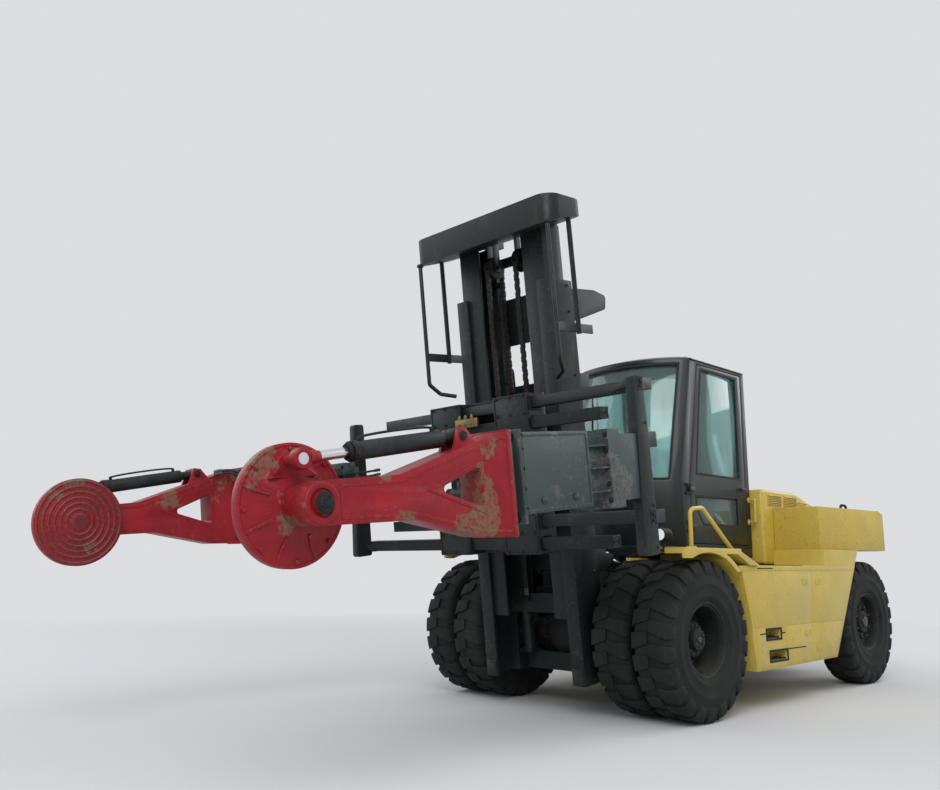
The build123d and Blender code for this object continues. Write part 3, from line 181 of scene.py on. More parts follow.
def make_weathering():
    """Masks of chipped edges, settled dust, broad blotches, low dirt and rubbed patches."""
    wires, given, out = shader_group("weathering", [("Chips", 0.4), ("Dust", 0.4), ("Scale", 3.0)],
                                     ["Edge", "Dust", "Blotch", "Dirt", "Patch"])
    place = wires.place()
    form = wires.node("ShaderNodeNewGeometry")
    broad = wires.noise(place, given["Scale"], 5.0, 0.6)
    fine = wires.noise(place, 34.0, 4.0, 0.65)
    ridge = wires.span(form.outputs["Pointiness"], 0.515, 0.59)
    worn = wires.span(fine, wires.maths("SUBTRACT", 0.72, wires.maths("MULTIPLY", given["Chips"], 0.3)), 0.72)
    flat = wires.span(wires.height(form.outputs["Normal"]), 0.35, 0.95)
    settled = wires.maths("MULTIPLY", flat, wires.span(broad, 0.32, 0.68, 0.35, 1.0))
    low = wires.span(wires.height(place), 1.25, 0.15)
    splash = wires.maths("MULTIPLY", low, wires.span(wires.noise(place, 7.0, 6.0, 0.7), 0.36, 0.66))
    rubbed = wires.span(wires.noise(place, 2.1, 5.0, 0.62), 0.565, 0.585)
    wires.fill(out, Edge=wires.maths("MULTIPLY", ridge, worn, clamp=True),
               Dust=wires.maths("MULTIPLY", settled, given["Dust"]), Blotch=wires.span(broad, 0.35, 0.65),
               Dirt=wires.maths("MULTIPLY", splash, given["Dust"]),
               Patch=wires.maths("MULTIPLY", rubbed, wires.span(fine, 0.34, 0.55)))


def make_orange_peel():
    """Height of sprayed paint: fine peel over the slow waves of plate."""
    wires, given, out = shader_group("orange_peel", [("Peel", 0.3), ("Waves", 0.5)], ["Height"])
    place = wires.place()
    peel = wires.maths("MULTIPLY", wires.noise(place, 260.0, 2.0), given["Peel"])
    waves = wires.maths("MULTIPLY", wires.noise(place, 5.0, 2.0), given["Waves"])
    wires.fill(out, Height=wires.maths("ADD", peel, waves))


def make_grain():
    """Height and shade of a rough cast or rubber surface."""
    wires, given, out = shader_group("grain", [("Scale", 90.0), ("Contrast", 0.6)], ["Height", "Shade"])
    place = wires.place()
    fine = wires.maths("MULTIPLY", wires.noise(place, given["Scale"], 6.0, 0.7), 0.7)
    coarse = wires.maths("MULTIPLY", wires.noise(place, 9.0, 4.0, 0.6), 0.3)
    both = wires.maths("ADD", fine, coarse)
    wires.fill(out, Height=both, Shade=wires.maths("MULTIPLY", wires.span(both, 0.35, 0.65), given["Contrast"]))


def new_material(name):
    """A material with one Principled shader, and its wires."""
    made = bpy.data.materials.new(name)
    made.use_nodes = True
    return made, Wires(made.node_tree), made.node_tree.nodes["Principled BSDF"]


def use_group(wires, name, **values):
    """The outputs of a shared group, with its inputs set."""
    return wires.fill(wires.node("ShaderNodeGroup", node_tree=GROUPS[name]), **values).outputs


def raise_surface(wires, shader, height, strength, distance):
    bump = wires.fill(wires.node("ShaderNodeBump"), Strength=strength, Distance=distance, Height=height)
    wires.link(bump.outputs[0], shader.inputs["Normal"])


def dim(colour, factor):
    """A colour made darker, or lighter with a factor over 1."""
    return tuple(c * factor for c in colour)


def aged(wires, age, shade, under):
    """A shade with chipped edges, dust and dirt over it."""
    for mask, over in (("Edge", under), ("Dust", DUST), ("Dirt", DIRT)):
        shade = wires.mix(age[mask], shade, over)
    return shade


def paint(name, colour, under, chips, dust, rough, coat, waves, blotch, rubbed, gloss=0.5):
    """Sprayed machine paint: blotches, rubbed patches, chipped edges down to the under colour, settled dust."""
    made, wires, shader = new_material(name)
    age = use_group(wires, "weathering", Chips=chips, Dust=dust)
    peel = use_group(wires, "orange_peel", Waves=waves)
    shade = wires.mix(age["Blotch"], dim(colour, blotch), colour)
    shade = wires.mix(wires.maths("MULTIPLY", age["Patch"], rubbed), shade, under)
    dull = rough
    for mask, share in (("Dust", 0.4), ("Blotch", 0.08), ("Dirt", 0.35)):
        dull = wires.maths("MULTIPLY_ADD", age[mask], share, dull)
    wires.fill(shader, Base_Color=aged(wires, age, shade, under), Roughness=dull, Coat_Weight=coat,
               Coat_Roughness=0.12, Specular_IOR_Level=gloss)
    raise_surface(wires, shader, peel["Height"], 0.25, 0.002)
    return made


def rubber(name, colour, dust):
    """Tyre rubber: a fine grain, with dust in blotches and along the edges."""
    made, wires, shader = new_material(name)
    age = use_group(wires, "weathering", Chips=0.6, Dust=dust, Scale=2.4)
    grain = use_group(wires, "grain", Scale=140.0, Contrast=0.5)
    shade = wires.mix(grain["Shade"], colour, dim(colour, 1.7))
    shade = wires.mix(wires.maths("MULTIPLY", age["Blotch"], 0.45), shade, TYRE_DUST)
    wires.fill(shader, Base_Color=wires.mix(age["Edge"], shade, TYRE_DUST), Specular_IOR_Level=0.25,
               Roughness=wires.span(grain["Shade"], 0.0, 0.6, 0.72, 0.92))
    raise_surface(wires, shader, grain["Height"], 0.5, 0.003)
    return made


def metal(name, colour, rough, grease=0.0):
    """Bare metal with fine streaks and some grease."""
    made, wires, shader = new_material(name)
    grain = use_group(wires, "grain", Scale=90.0, Contrast=0.5)
    shade = wires.mix(wires.maths("MULTIPLY", grain["Shade"], grease), colour, (0.05, 0.045, 0.04))
    wires.fill(shader, Base_Color=shade, Roughness=wires.span(grain["Shade"], 0.0, 0.5, rough, rough + 0.18),
               Metallic=1.0)
    raise_surface(wires, shader, grain["Height"], 0.15, 0.001)
    return made


def cast(name, colour, chips, dust):
    """Painted casting with a sandy skin."""
    made, wires, shader = new_material(name)
    age = use_group(wires, "weathering", Chips=chips, Dust=dust, Scale=2.0)
    grain = use_group(wires, "grain", Scale=60.0, Contrast=0.4)
    shade = wires.mix(age["Blotch"], dim(colour, 0.84), colour)
    shade = wires.mix(wires.maths("MULTIPLY", grain["Shade"], 0.3), shade, dim(colour, 0.7))
    wires.fill(shader, Base_Color=aged(wires, age, shade, (0.16, 0.12, 0.08)),
               Roughness=wires.span(grain["Shade"], 0.0, 0.5, 0.5, 0.7))
    raise_surface(wires, shader, grain["Height"], 0.4, 0.003)
    return made


def plastic(name, colour, rough):
    """Moulded plastic with a leathery grain."""
    made, wires, shader = new_material(name)
    grain = use_group(wires, "grain", Scale=320.0, Contrast=0.3)
    wires.fill(shader, Base_Color=wires.mix(grain["Shade"], colour, dim(colour, 1.4)),
               Roughness=wires.span(grain["Shade"], 0.0, 0.3, rough, rough + 0.1))
    raise_surface(wires, shader, grain["Height"], 0.3, 0.001)
    return made


def cloth(name, colour):
    """Woven seat cloth."""
    made, wires, shader = new_material(name)
    place = wires.place()
    bands = []
    for direction in ("X", "Z"):
        wave = wires.node("ShaderNodeTexWave", bands_direction=direction)
        bands.append(wires.fill(wave, Vector=place, Scale=180.0, Distortion=0.6).outputs["Fac"])
    weave = wires.maths("MULTIPLY", *bands)
    wires.fill(shader, Base_Color=wires.mix(weave, dim(colour, 0.6), colour), Roughness=0.9, Sheen_Weight=0.3)
    raise_surface(wires, shader, weave, 0.3, 0.001)
    return made


def glazing(name, colour):
    """Green tinted cab glass with dusty runs down it."""
    made, wires, shader = new_material(name)
    long_runs = wires.fill(wires.node("ShaderNodeMapping"), Scale=(7.0, 7.0, 0.9), Vector=wires.place())
    smear = wires.span(wires.noise(long_runs.outputs[0], 3.2, 4.0), 0.3, 0.75)
    wires.fill(shader, Base_Color=wires.mix(smear, colour, dim(colour, 0.8)), IOR=1.45, Specular_IOR_Level=0.6,
               Roughness=wires.span(smear, 0.0, 1.0, 0.02, 0.11), Transmission_Weight=0.9)
    return made


def lens(name, colour, glow=0.0):
    """Moulded lamp lens with fine flutes."""
    made, wires, shader = new_material(name)
    wave = wires.node("ShaderNodeTexWave", bands_direction="X")
    flutes = wires.fill(wave, Vector=wires.place(), Scale=90.0).outputs["Fac"]
    shade = wires.mix(flutes, dim(colour, 0.9), colour)
    wires.fill(shader, Base_Color=shade, Emission_Color=shade, Emission_Strength=glow, Roughness=0.12, Coat_Weight=0.6)
    raise_surface(wires, shader, flutes, 0.2, 0.002)
    return made


GROUPS = {}
FINISHES = {}


def make_finishes():
    """Every group and material of the handler, once."""
    if FINISHES:
        return
    make_weathering()
    make_orange_peel()
    make_grain()
    own = props()
    yellow, dark, grey, red = (tuple(colour) for colour in (own.yellow, own.dark, own.grey, own.red))
    chips, dust = own.chips, own.dust
    for key, make, *given in (
        ("yellow_paint", paint, "machine_yellow", yellow, (0.2, 0.13, 0.07), chips, dust * 0.6, 0.42, 0.2, 0.5, 0.86,
         0.0),
        ("dark_paint", paint, "mast_dark", dark, (0.05, 0.045, 0.04), chips, dust * 0.09, 0.5, 0.04, 0.5, 0.7, 0.3,
         0.3),
        ("cab_paint", paint, "cab_dark", dark, (0.06, 0.055, 0.05), 0.2, dust * 0.08, 0.38, 0.16, 0.2, 0.7, 0.0,
         0.35),
        ("grey_paint", paint, "box_grey", grey, (0.2, 0.185, 0.17), chips, dust * 0.16, 0.5, 0.05, 0.5, 0.8, 0.35,
         0.35),
        ("red_paint", paint, "arm_red", red, (0.16, 0.11, 0.062), chips * 1.2, dust * 0.06, 0.42, 0.06, 0.6, 0.68,
         0.9, 0.25),
        ("black_steel", paint, "chassis_black", (0.009, 0.0105, 0.011), (0.05, 0.04, 0.032), 0.6, dust * 0.2, 0.6,
         0.0, 0.5, 0.8, 0.2, 0.3),
        ("rim_paint", paint, "rim_dark", (0.011, 0.013, 0.0135), (0.06, 0.05, 0.04), 0.5, dust * 0.25, 0.6, 0.0, 0.5,
         0.8, 0.2, 0.3),
        ("cast_weight", cast, "weight_yellow", yellow, chips, dust * 0.6),
        ("cast_rubbed", paint, "pad_face_rubbed", dim(red, 0.55), (0.13, 0.11, 0.09), 1.0, dust, 0.55, 0.05, 0.4, 0.7,
         1.0),
        ("engine_iron", cast, "engine_grey", (0.1, 0.105, 0.1), 0.3, dust),
        ("tyre_rubber", rubber, "tyre_rubber", tuple(own.rubber), dust),
        ("rod_chrome", metal, "rod_chrome", (0.72, 0.73, 0.75), 0.1),
        ("chain_steel", metal, "chain_steel", (0.055, 0.055, 0.053), 0.5, 0.8),
        ("bolt_steel", metal, "bolt_steel", (0.12, 0.12, 0.12), 0.42, 0.6),
        ("brass", metal, "fitting_brass", (0.26, 0.18, 0.09), 0.42, 0.7),
        ("hose", plastic, "hose_rubber", (0.009, 0.01, 0.0105), 0.55),
        ("cab_plastic", plastic, "cab_trim", (0.045, 0.048, 0.052), 0.55),
        ("seal_rubber", plastic, "seal_rubber", (0.012, 0.012, 0.013), 0.7),
        ("seat_cloth", cloth, "seat_cloth", (0.055, 0.055, 0.062)),
        ("glass", glazing, "cab_glass", tuple(own.glass)),
        ("lamp", lens, "lamp_clear", (0.86, 0.87, 0.86), 0.35),
        ("lamp_amber", lens, "lamp_amber", (0.75, 0.28, 0.04)),
        ("lamp_red", lens, "lamp_red", (0.5, 0.03, 0.02)),
    ):
        FINISHES[key] = make(*given)


# Mesh work

def across(axis, a, b, along):
    """A point given by its two places across an axis and one along it."""
    return {"x": (along, a, b), "y": (a, along, b), "z": (a, b, along)}[axis]


def turns(count, phase=0.0):
    """Even turns round a circle, in radians."""
    return [2 * math.pi * i / count + phase for i in range(count)]


def circle(centre, axis, radius, angles, along=0.0):
    """Points of a circle round an axis through the centre."""
    return [Vector(centre) + Vector(across(axis, radius * math.cos(angle), radius * math.sin(angle), along))
            for angle in angles]


class Form:
    """One piece in the making: plates, bars and turned shapes gathered in one mesh."""

    def __init__(self):
        self.bm = bmesh.new()

    def solid(self, near, far):
        """A body between two loops of vertices, capped by both."""
        faces = [self.bm.faces.new(near), self.bm.faces.new(list(reversed(far)))]
        for i in range(len(near)):
            j = (i + 1) % len(near)
            faces.append(self.bm.faces.new((near[j], near[i], far[i], far[j])))
        bmesh.ops.recalc_face_normals(self.bm, faces=faces)
        return self

    def loft(self, rings, closed=True):
        """A skin over a row of vertex rings, closed on itself or capped at both ends."""
        faces = []
        for one, two in zip(rings, rings[1:] + (rings[:1] if closed else [])):
            for i in range(len(one)):
                j = (i + 1) % len(one)
                faces.append(self.bm.faces.new((one[i], one[j], two[j], two[i])))
        if not closed:
            faces += [self.bm.faces.new(rings[0]), self.bm.faces.new(list(reversed(rings[-1])))]
        bmesh.ops.recalc_face_normals(self.bm, faces=faces)
        return self

    def prism(self, axis, points, start, end):
        """An outline across one axis, filled from start to end."""
        near, far = ([self.bm.verts.new(across(axis, a, b, along)) for a, b in points] for along in (start, end))
        return self.solid(near, far)

    def block(self, x0, x1, y0, y1, z0, z1):
        """A plate or block between six planes."""
        return self.prism("z", [(x0, y0), (x1, y0), (x1, y1), (x0, y1)], z0, z1)

    def ring(self, axis, points, width, start, end):
        """A flat frame that follows an outline, its band on the inner side."""
        count = len(points)
        area = sum(points[i - 1][0] * points[i][1] - points[i][0] * points[i - 1][1] for i in range(count))
        inner = []
        for i in range(count):
            before, here, after = (Vector(points[j % count]) for j in (i - 1, i, i + 1))
            one, two = (here - before).normalized(), (after - here).normalized()
            normals = [Vector((-w.y, w.x)) * (1 if area > 0 else -1) for w in (one, two)]
            middle = (normals[0] + normals[1]).normalized()
            inner.append(tuple(here + middle * (width / max(0.3, middle.dot(normals[0])))))
        loops = [[self.bm.verts.new(across(axis, a, b, along)) for a, b in outline]
                 for along in (start, end) for outline in (points, inner)]
        return self.loft([loops[0], loops[1], loops[3], loops[2]])

    def band(self, axis, a0, a1, b0, b1, width, start, end):
        """A ring that follows a rectangle."""
        return self.ring(axis, [(a0, b0), (a1, b0), (a1, b1), (a0, b1)], width, start, end)

    def bolts(self, places, way, radius, height):
        """Several bolts with one direction."""
        for place in places:
            self.bolt(place, way, radius, height)
        return self

    def bar(self, start, end, radius, end_radius=None, sides=24):
        """A round or tapered bar between two points."""
        start = Vector(start)
        way = Vector(end) - start
        turn = way.to_track_quat("Z", "Y").to_matrix().to_4x4()
        place = Matrix.Translation(start + way / 2) @ turn
        bmesh.ops.create_cone(self.bm, cap_ends=True, segments=sides, radius1=radius,
                              radius2=radius if end_radius is None else end_radius, depth=way.length, matrix=place)
        return self

    def turned(self, profile, centre, axis="x", sides=48, closed=True):
        """A profile of (along, radius) points turned round an axis through the centre."""
        return self.loft([[self.bm.verts.new(point) for point in circle(centre, axis, radius, turns(sides), along)]
                          for along, radius in profile], closed)

    def pipe(self, points, radius, sides=12):
        """A bent tube through points, its bends rounded."""
        curve = bpy.data.curves.new("run", "CURVE")
        curve.dimensions = "3D"
        curve.bevel_depth = radius
        curve.bevel_resolution = max(1, sides // 4 - 1)
        curve.use_fill_caps = True
        curve.resolution_u = 8
        spline = curve.splines.new("NURBS")
        spline.points.add(len(points) - 1)
        for point, place in zip(spline.points, points):
            point.co = (*place, 1)
        spline.use_endpoint_u = True
        spline.order_u = 3
        holder = bpy.data.objects.new("run", curve)
        mesh = bpy.data.meshes.new_from_object(holder)
        self.bm.from_mesh(mesh)
        bpy.data.objects.remove(holder)
        bpy.data.curves.remove(curve)
        bpy.data.meshes.remove(mesh)
        bmesh.ops.remove_doubles(self.bm, verts=self.bm.verts, dist=1e-6)
        return self

    def bolt(self, place, way, radius, height):
        """A hexagon head on a washer."""
        place, way = Vector(place), Vector(way).normalized()
        self.bar(place, place + way * height * 0.25, radius * 1.35, sides=20)
        self.bar(place + way * height * 0.2, place + way * height, radius, sides=6)
        return self

    def piece(self, name, body, finish, slot=None, lean=False, bevel=0.003, segments=2, mirror=False):
        """Turns the form into a piece that rides on its body."""
        if mirror:
            bmesh.ops.scale(self.bm, vec=(-1, 1, 1), verts=self.bm.verts)
            bmesh.ops.reverse_faces(self.bm, faces=self.bm.faces)
        self.bm.transform(MAST if lean else TRUCK)
        mesh = bpy.data.meshes.new(name)
        self.bm.to_mesh(mesh)
        self.bm.free()
        return dress(mesh, name, body, finish, bevel, segments)


def formed(make, *given):
    """A form filled by one making function."""
    form = Form()
    make(form, *given)
    return form


def apply_shape(made):
    """Puts the modifiers' result into the mesh."""
    shown = made.evaluated_get(bpy.context.evaluated_depsgraph_get())
    final = bpy.data.meshes.new_from_object(shown)
    made.modifiers.clear()
    old = made.data
    made.data = final
    bpy.data.meshes.remove(old)


def dress(mesh, name, body, finish, bevel, segments=2):
    """Bevels a mesh, shades it and lets it ride on its body."""
    made = bpy.data.objects.new(name, mesh)
    bpy.context.scene.collection.objects.link(made)
    if bevel:
        rounded = made.modifiers.new("edges", "BEVEL")
        rounded.width = bevel
        rounded.segments = segments
        rounded.limit_method = "ANGLE"
        rounded.angle_limit = BEVEL_ANGLE
        rounded.use_clamp_overlap = True
        apply_shape(made)
        made.data.name = name
    made.data.materials.clear()
    made.data.materials.append(FINISHES[finish])
    made.data.shade_smooth()
    made.data.set_sharp_from_angle(angle=SHARP_ANGLE)
    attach(made, body)
    return made


def body_of_node(node):
    """The body that the record gives a node."""
    for body, members in frame["record"]["behaviour"]["bodies"].items():
        if node in members:
            return body
    raise ValueError(node)


def dress_node(node, finish, bevel):
    """A piece with eased edges that stands for a CAD node and keeps its shape."""
    mesh = frame["nodes"][node].data.copy()
    bm = bmesh.new()
    bm.from_mesh(mesh)
    bmesh.ops.remove_doubles(bm, verts=bm.verts, dist=2e-5)
    bmesh.ops.dissolve_limit(bm, angle_limit=FLAT_ANGLE, verts=bm.verts, edges=bm.edges)
    bm.to_mesh(mesh)
    bm.free()
    mesh.name = node
    made = dress(mesh, f"{node}_shell", body_of_node(node), finish, bevel)
    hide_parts(node)
    return made


def dress_nodes(rows):
    """Pieces for several nodes, from rows of node, finish and bevel."""
    for node, finish, bevel in rows:
        dress_node(node, finish, bevel)


# Tyres and wheels

def tyre_form(form, centre_x, centre_y, lugs, tread):
    """One tyre: sidewalls with rim guard and rings, deep groove bed and shoulder lugs."""
    half = TYRE_W / 2
    bed = WHEEL_R - tread
    side = [(half - 0.052, RIM_R - 0.004), (half - 0.04, RIM_R + 0.004), (half - 0.03, RIM_R + 0.022),
            (half - 0.012, RIM_R + 0.05), (half - 0.006, RIM_R + 0.058), (half - 0.008, RIM_R + 0.066),
            (half - 0.002, RIM_R + 0.11), (half, RIM_R + 0.15), (half + 0.003, RIM_R + 0.156),
            (half + 0.003, RIM_R + 0.168), (half, RIM_R + 0.174), (half - 0.002, bed - 0.09),
            (half - 0.012, bed - 0.05), (half - 0.032, bed - 0.018), (half - 0.06, bed - 0.002)]
    crown = [(half * 0.45, bed + 0.002), (0.0, bed + 0.003), (-half * 0.45, bed + 0.002)]
    profile = side + crown + [(-a, r) for a, r in reversed(side)]
    form.turned(profile, (centre_x, centre_y, WHEEL_R), "x", 96)
    top = WHEEL_R - 0.0015
    for sign in (-1, 1):
        for index in range(lugs):
            turn = 2 * math.pi * (index + 0.25 * sign) / lugs
            lug_form(form, centre_x, centre_y, sign, turn, half, bed, top, lugs)


def lug_form(form, centre_x, centre_y, sign, turn, half, bed, top, lugs):
    """One shoulder lug: a slanting bar that widens outwards and runs down the shoulder."""
    pitch = 2 * math.pi / lugs
    rows = [
        (0.006, 0.25, 0.0, top), (half * 0.42, 0.29, 0.08, top), (half * 0.8, 0.34, 0.15, top - 0.004),
        (half - 0.022, 0.35, 0.18, top - 0.014), (half - 0.006, 0.34, 0.19, bed - 0.016),
        (half + 0.003, 0.32, 0.19, bed - 0.055), (half + 0.002, 0.27, 0.19, bed - 0.105),
    ]

    def strip(edges, widest, highest, sink):
        """Vertices along each row, held to the shoulder and the bed."""
        return [[form.bm.verts.new((centre_x + min(along, widest) * sign,
                                    centre_y + (min(radius, highest) - sink) * math.cos(angle),
                                    WHEEL_R + (min(radius, highest) - sink) * math.sin(angle)))
                 for angle in [turn + pitch * (lag + edge * width) for edge in edges]]
                for along, width, lag, radius in rows]

    tops = strip((-1, -0.33, 0.33, 1), half + 1, top, 0)
    feet = strip((-1.08, 1.08), half - 0.022, bed, 0.012)
    faces = []
    for one, two in zip(tops, tops[1:]):
        for i in range(3):
            faces.append(form.bm.faces.new((one[i], one[i + 1], two[i + 1], two[i])))
    for (one, two), (foot_one, foot_two) in zip(zip(tops, tops[1:]), zip(feet, feet[1:])):
        faces.append(form.bm.faces.new((one[0], two[0], foot_two[0], foot_one[0])))
        faces.append(form.bm.faces.new((one[3], foot_one[1], foot_two[1], two[3])))
        faces.append(form.bm.faces.new((foot_one[0], foot_two[0], foot_two[1], foot_one[1])))
    for end, foot in ((tops[0], feet[0]), (tops[-1], feet[-1])):
        faces.append(form.bm.faces.new((*end, foot[1], foot[0])))
    bmesh.ops.recalc_face_normals(form.bm, faces=faces)


def rim_form(form, centre_x, centre_y, outward):
    """Flange and lock ring of a rim, seen from outside."""
    edge = TYRE_W / 2 - 0.045
    s = outward
    profile = [(s * edge, RIM_R + 0.012), (s * (edge + 0.01), RIM_R + 0.01), (s * (edge + 0.012), RIM_R - 0.006),
               (s * (edge - 0.004), RIM_R - 0.016), (s * (edge - 0.03), RIM_R - 0.02),
               (s * (edge - 0.034), RIM_R - 0.03), (-s * edge, RIM_R - 0.03), (-s * edge, RIM_R + 0.01),
               (-s * (edge - 0.02), RIM_R + 0.001), (s * (edge - 0.02), RIM_R + 0.001)]
    form.turned(profile, (centre_x, centre_y, WHEEL_R), "x", 72)


def wheel_bolts(form, sign, centre_y, face, ring, count, radius, height):
    """A ring of washers and nuts with stud ends, facing outwards."""
    phase = math.pi / count if ring < 0.19 else 0.0
    for place in circle((sign * face, centre_y, WHEEL_R), "x", ring, turns(count, phase)):
        if ring > 0.17:
            form.bar(place - Vector((sign * 0.003, 0, 0)), place + Vector((sign * 0.004, 0, 0)), radius * 1.25)
            tall = Vector((sign * (height + 0.04), 0, 0))
            form.bar(place + Vector((sign * 0.01, 0, 0)), place + tall, radius * 0.42, sides=12)
        else:
            form.bolt(place, (sign, 0, 0), radius, height)


# Operators and settings

def colour_setting(name, description, default):
    """A colour in the sidebar."""
    return bpy.props.FloatVectorProperty(name=name, description=description, subtype="COLOR", size=3, min=0, max=1,
                                         default=default)


def share_setting(name, description, default):
    """A share from nothing to all in the sidebar."""
    return bpy.props.FloatProperty(name=name, description=description, min=0, max=1, default=default, subtype="FACTOR")


class HandlerSettings(bpy.types.PropertyGroup):
    """Sizes and colours that a user would change."""
    yellow: colour_setting("Yellow", "Bodywork paint", (0.6, 0.445, 0.068))
    dark: colour_setting("Dark", "Mast and cab paint", (0.009, 0.0145, 0.015))
    grey: colour_setting("Grey", "Arm box paint", (0.034, 0.052, 0.053))
    red: colour_setting("Red", "Arm and pad paint", (0.3, 0.0095, 0.0175))
    rubber: colour_setting("Rubber", "Tyre rubber", (0.0085, 0.0095, 0.0095))
    glass: colour_setting("Glass", "Tint of the cab's glass", (0.46, 0.7, 0.67))
    chips: share_setting("Chips", "Wear along edges", 0.5)
    dust: share_setting("Dust", "Dust that has settled", 0.35)
    lugs: bpy.props.IntProperty(name="Lugs", description="Lugs on each shoulder of a tyre", min=12, max=40, default=22)
    tread: bpy.props.FloatProperty(name="Tread depth", description="Depth of the grooves", unit="LENGTH", min=0.005,
                                   max=0.06, default=0.024)
    focal: bpy.props.FloatProperty(name="Focal length", description="Lens of the camera in millimetres", min=10,
                                   max=200, default=33.43)


class HANDLER_OT_tyres(bpy.types.Operator):
    """Tyres with shoulder lugs on all wheels"""
    bl_idname = "tyre_handler.tyres"
    bl_label = "Tyres"

    def execute(self, context):
        own = props()
        for side, sign in SIDES:
            form = Form()
            for x in DRIVE_XS:
                tyre_form(form, sign * x, 0.0, own.lugs, own.tread)
            made = form.piece(f"drive_tyres_{side}_tread", f"drive_wheel_{side}", "tyre_rubber", segments=1)
            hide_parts(f"drive_tyres_{side}")
            form = formed(tyre_form, sign * STEER_X, STEER_Y, own.lugs, own.tread)
            made = form.piece(f"steer_tyre_{side}_tread", f"steer_wheel_{side}", "tyre_rubber", segments=1)
            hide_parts(f"steer_tyre_{side}")
        return {"FINISHED"}


class HANDLER_OT_rims(bpy.types.Operator):
    """Rims with lock rings, discs, hubs and wheel nuts"""
    bl_idname = "tyre_handler.rims"
    bl_label = "Rims"

    def execute(self, context):
        for side, sign in SIDES:
            dress_nodes([(f"drive_rims_{side}", "rim_paint", 0.004), (f"steer_rim_{side}", "rim_paint", 0.004)])
            formed(rim_form, sign * DRIVE_XS[0], 0.0, sign).piece(
                f"drive_rim_flange_{side}", f"drive_wheel_{side}", "rim_paint", bevel=0)
            formed(rim_form, sign * STEER_X, STEER_Y, sign).piece(
                f"steer_rim_flange_{side}", f"steer_wheel_{side}", "rim_paint", bevel=0)
            form = Form()
            wheel_bolts(form, sign, 0.0, 1.2, 0.205, 10, 0.026, 0.014)
            wheel_bolts(form, sign, 0.0, 1.315, 0.122, 12, 0.011, 0.012)
            wheel_bolts(form, sign, 0.0, 1.365, 0.066, 6, 0.01, 0.01)
            form.turned([(sign * 1.365, 0.03), (sign * 1.376, 0.026), (sign * 1.378, 0.01)], (0, 0, WHEEL_R), sides=24,
                        closed=False)
            form.pipe([(sign * 1.19, 0.262, WHEEL_R + 0.02), (sign * 1.25, 0.262, WHEEL_R + 0.02),
                       (sign * 1.29, 0.25, WHEEL_R + 0.02)], 0.006)
            form.piece(f"drive_hub_bolts_{side}", f"drive_wheel_{side}", "bolt_steel", bevel=0.001)
            form = Form()
            wheel_bolts(form, sign, STEER_Y, 1.255, 0.175, 8, 0.025, 0.013)
            wheel_bolts(form, sign, STEER_Y, 1.31, 0.092, 8, 0.01, 0.01)
            form.turned([(sign * 1.31, 0.062), (sign * 1.332, 0.058), (sign * 1.338, 0.046), (sign * 1.339, 0.012)],
                        (0, STEER_Y, WHEEL_R), sides=32, closed=False)
            form.pipe([(sign * 1.25, STEER_Y + 0.255, WHEEL_R), (sign * 1.29, STEER_Y + 0.255, WHEEL_R),
                       (sign * 1.32, STEER_Y + 0.245, WHEEL_R)], 0.006)
            form.piece(f"steer_hub_bolts_{side}", f"steer_wheel_{side}", "bolt_steel", bevel=0.001)
        return {"FINISHED"}


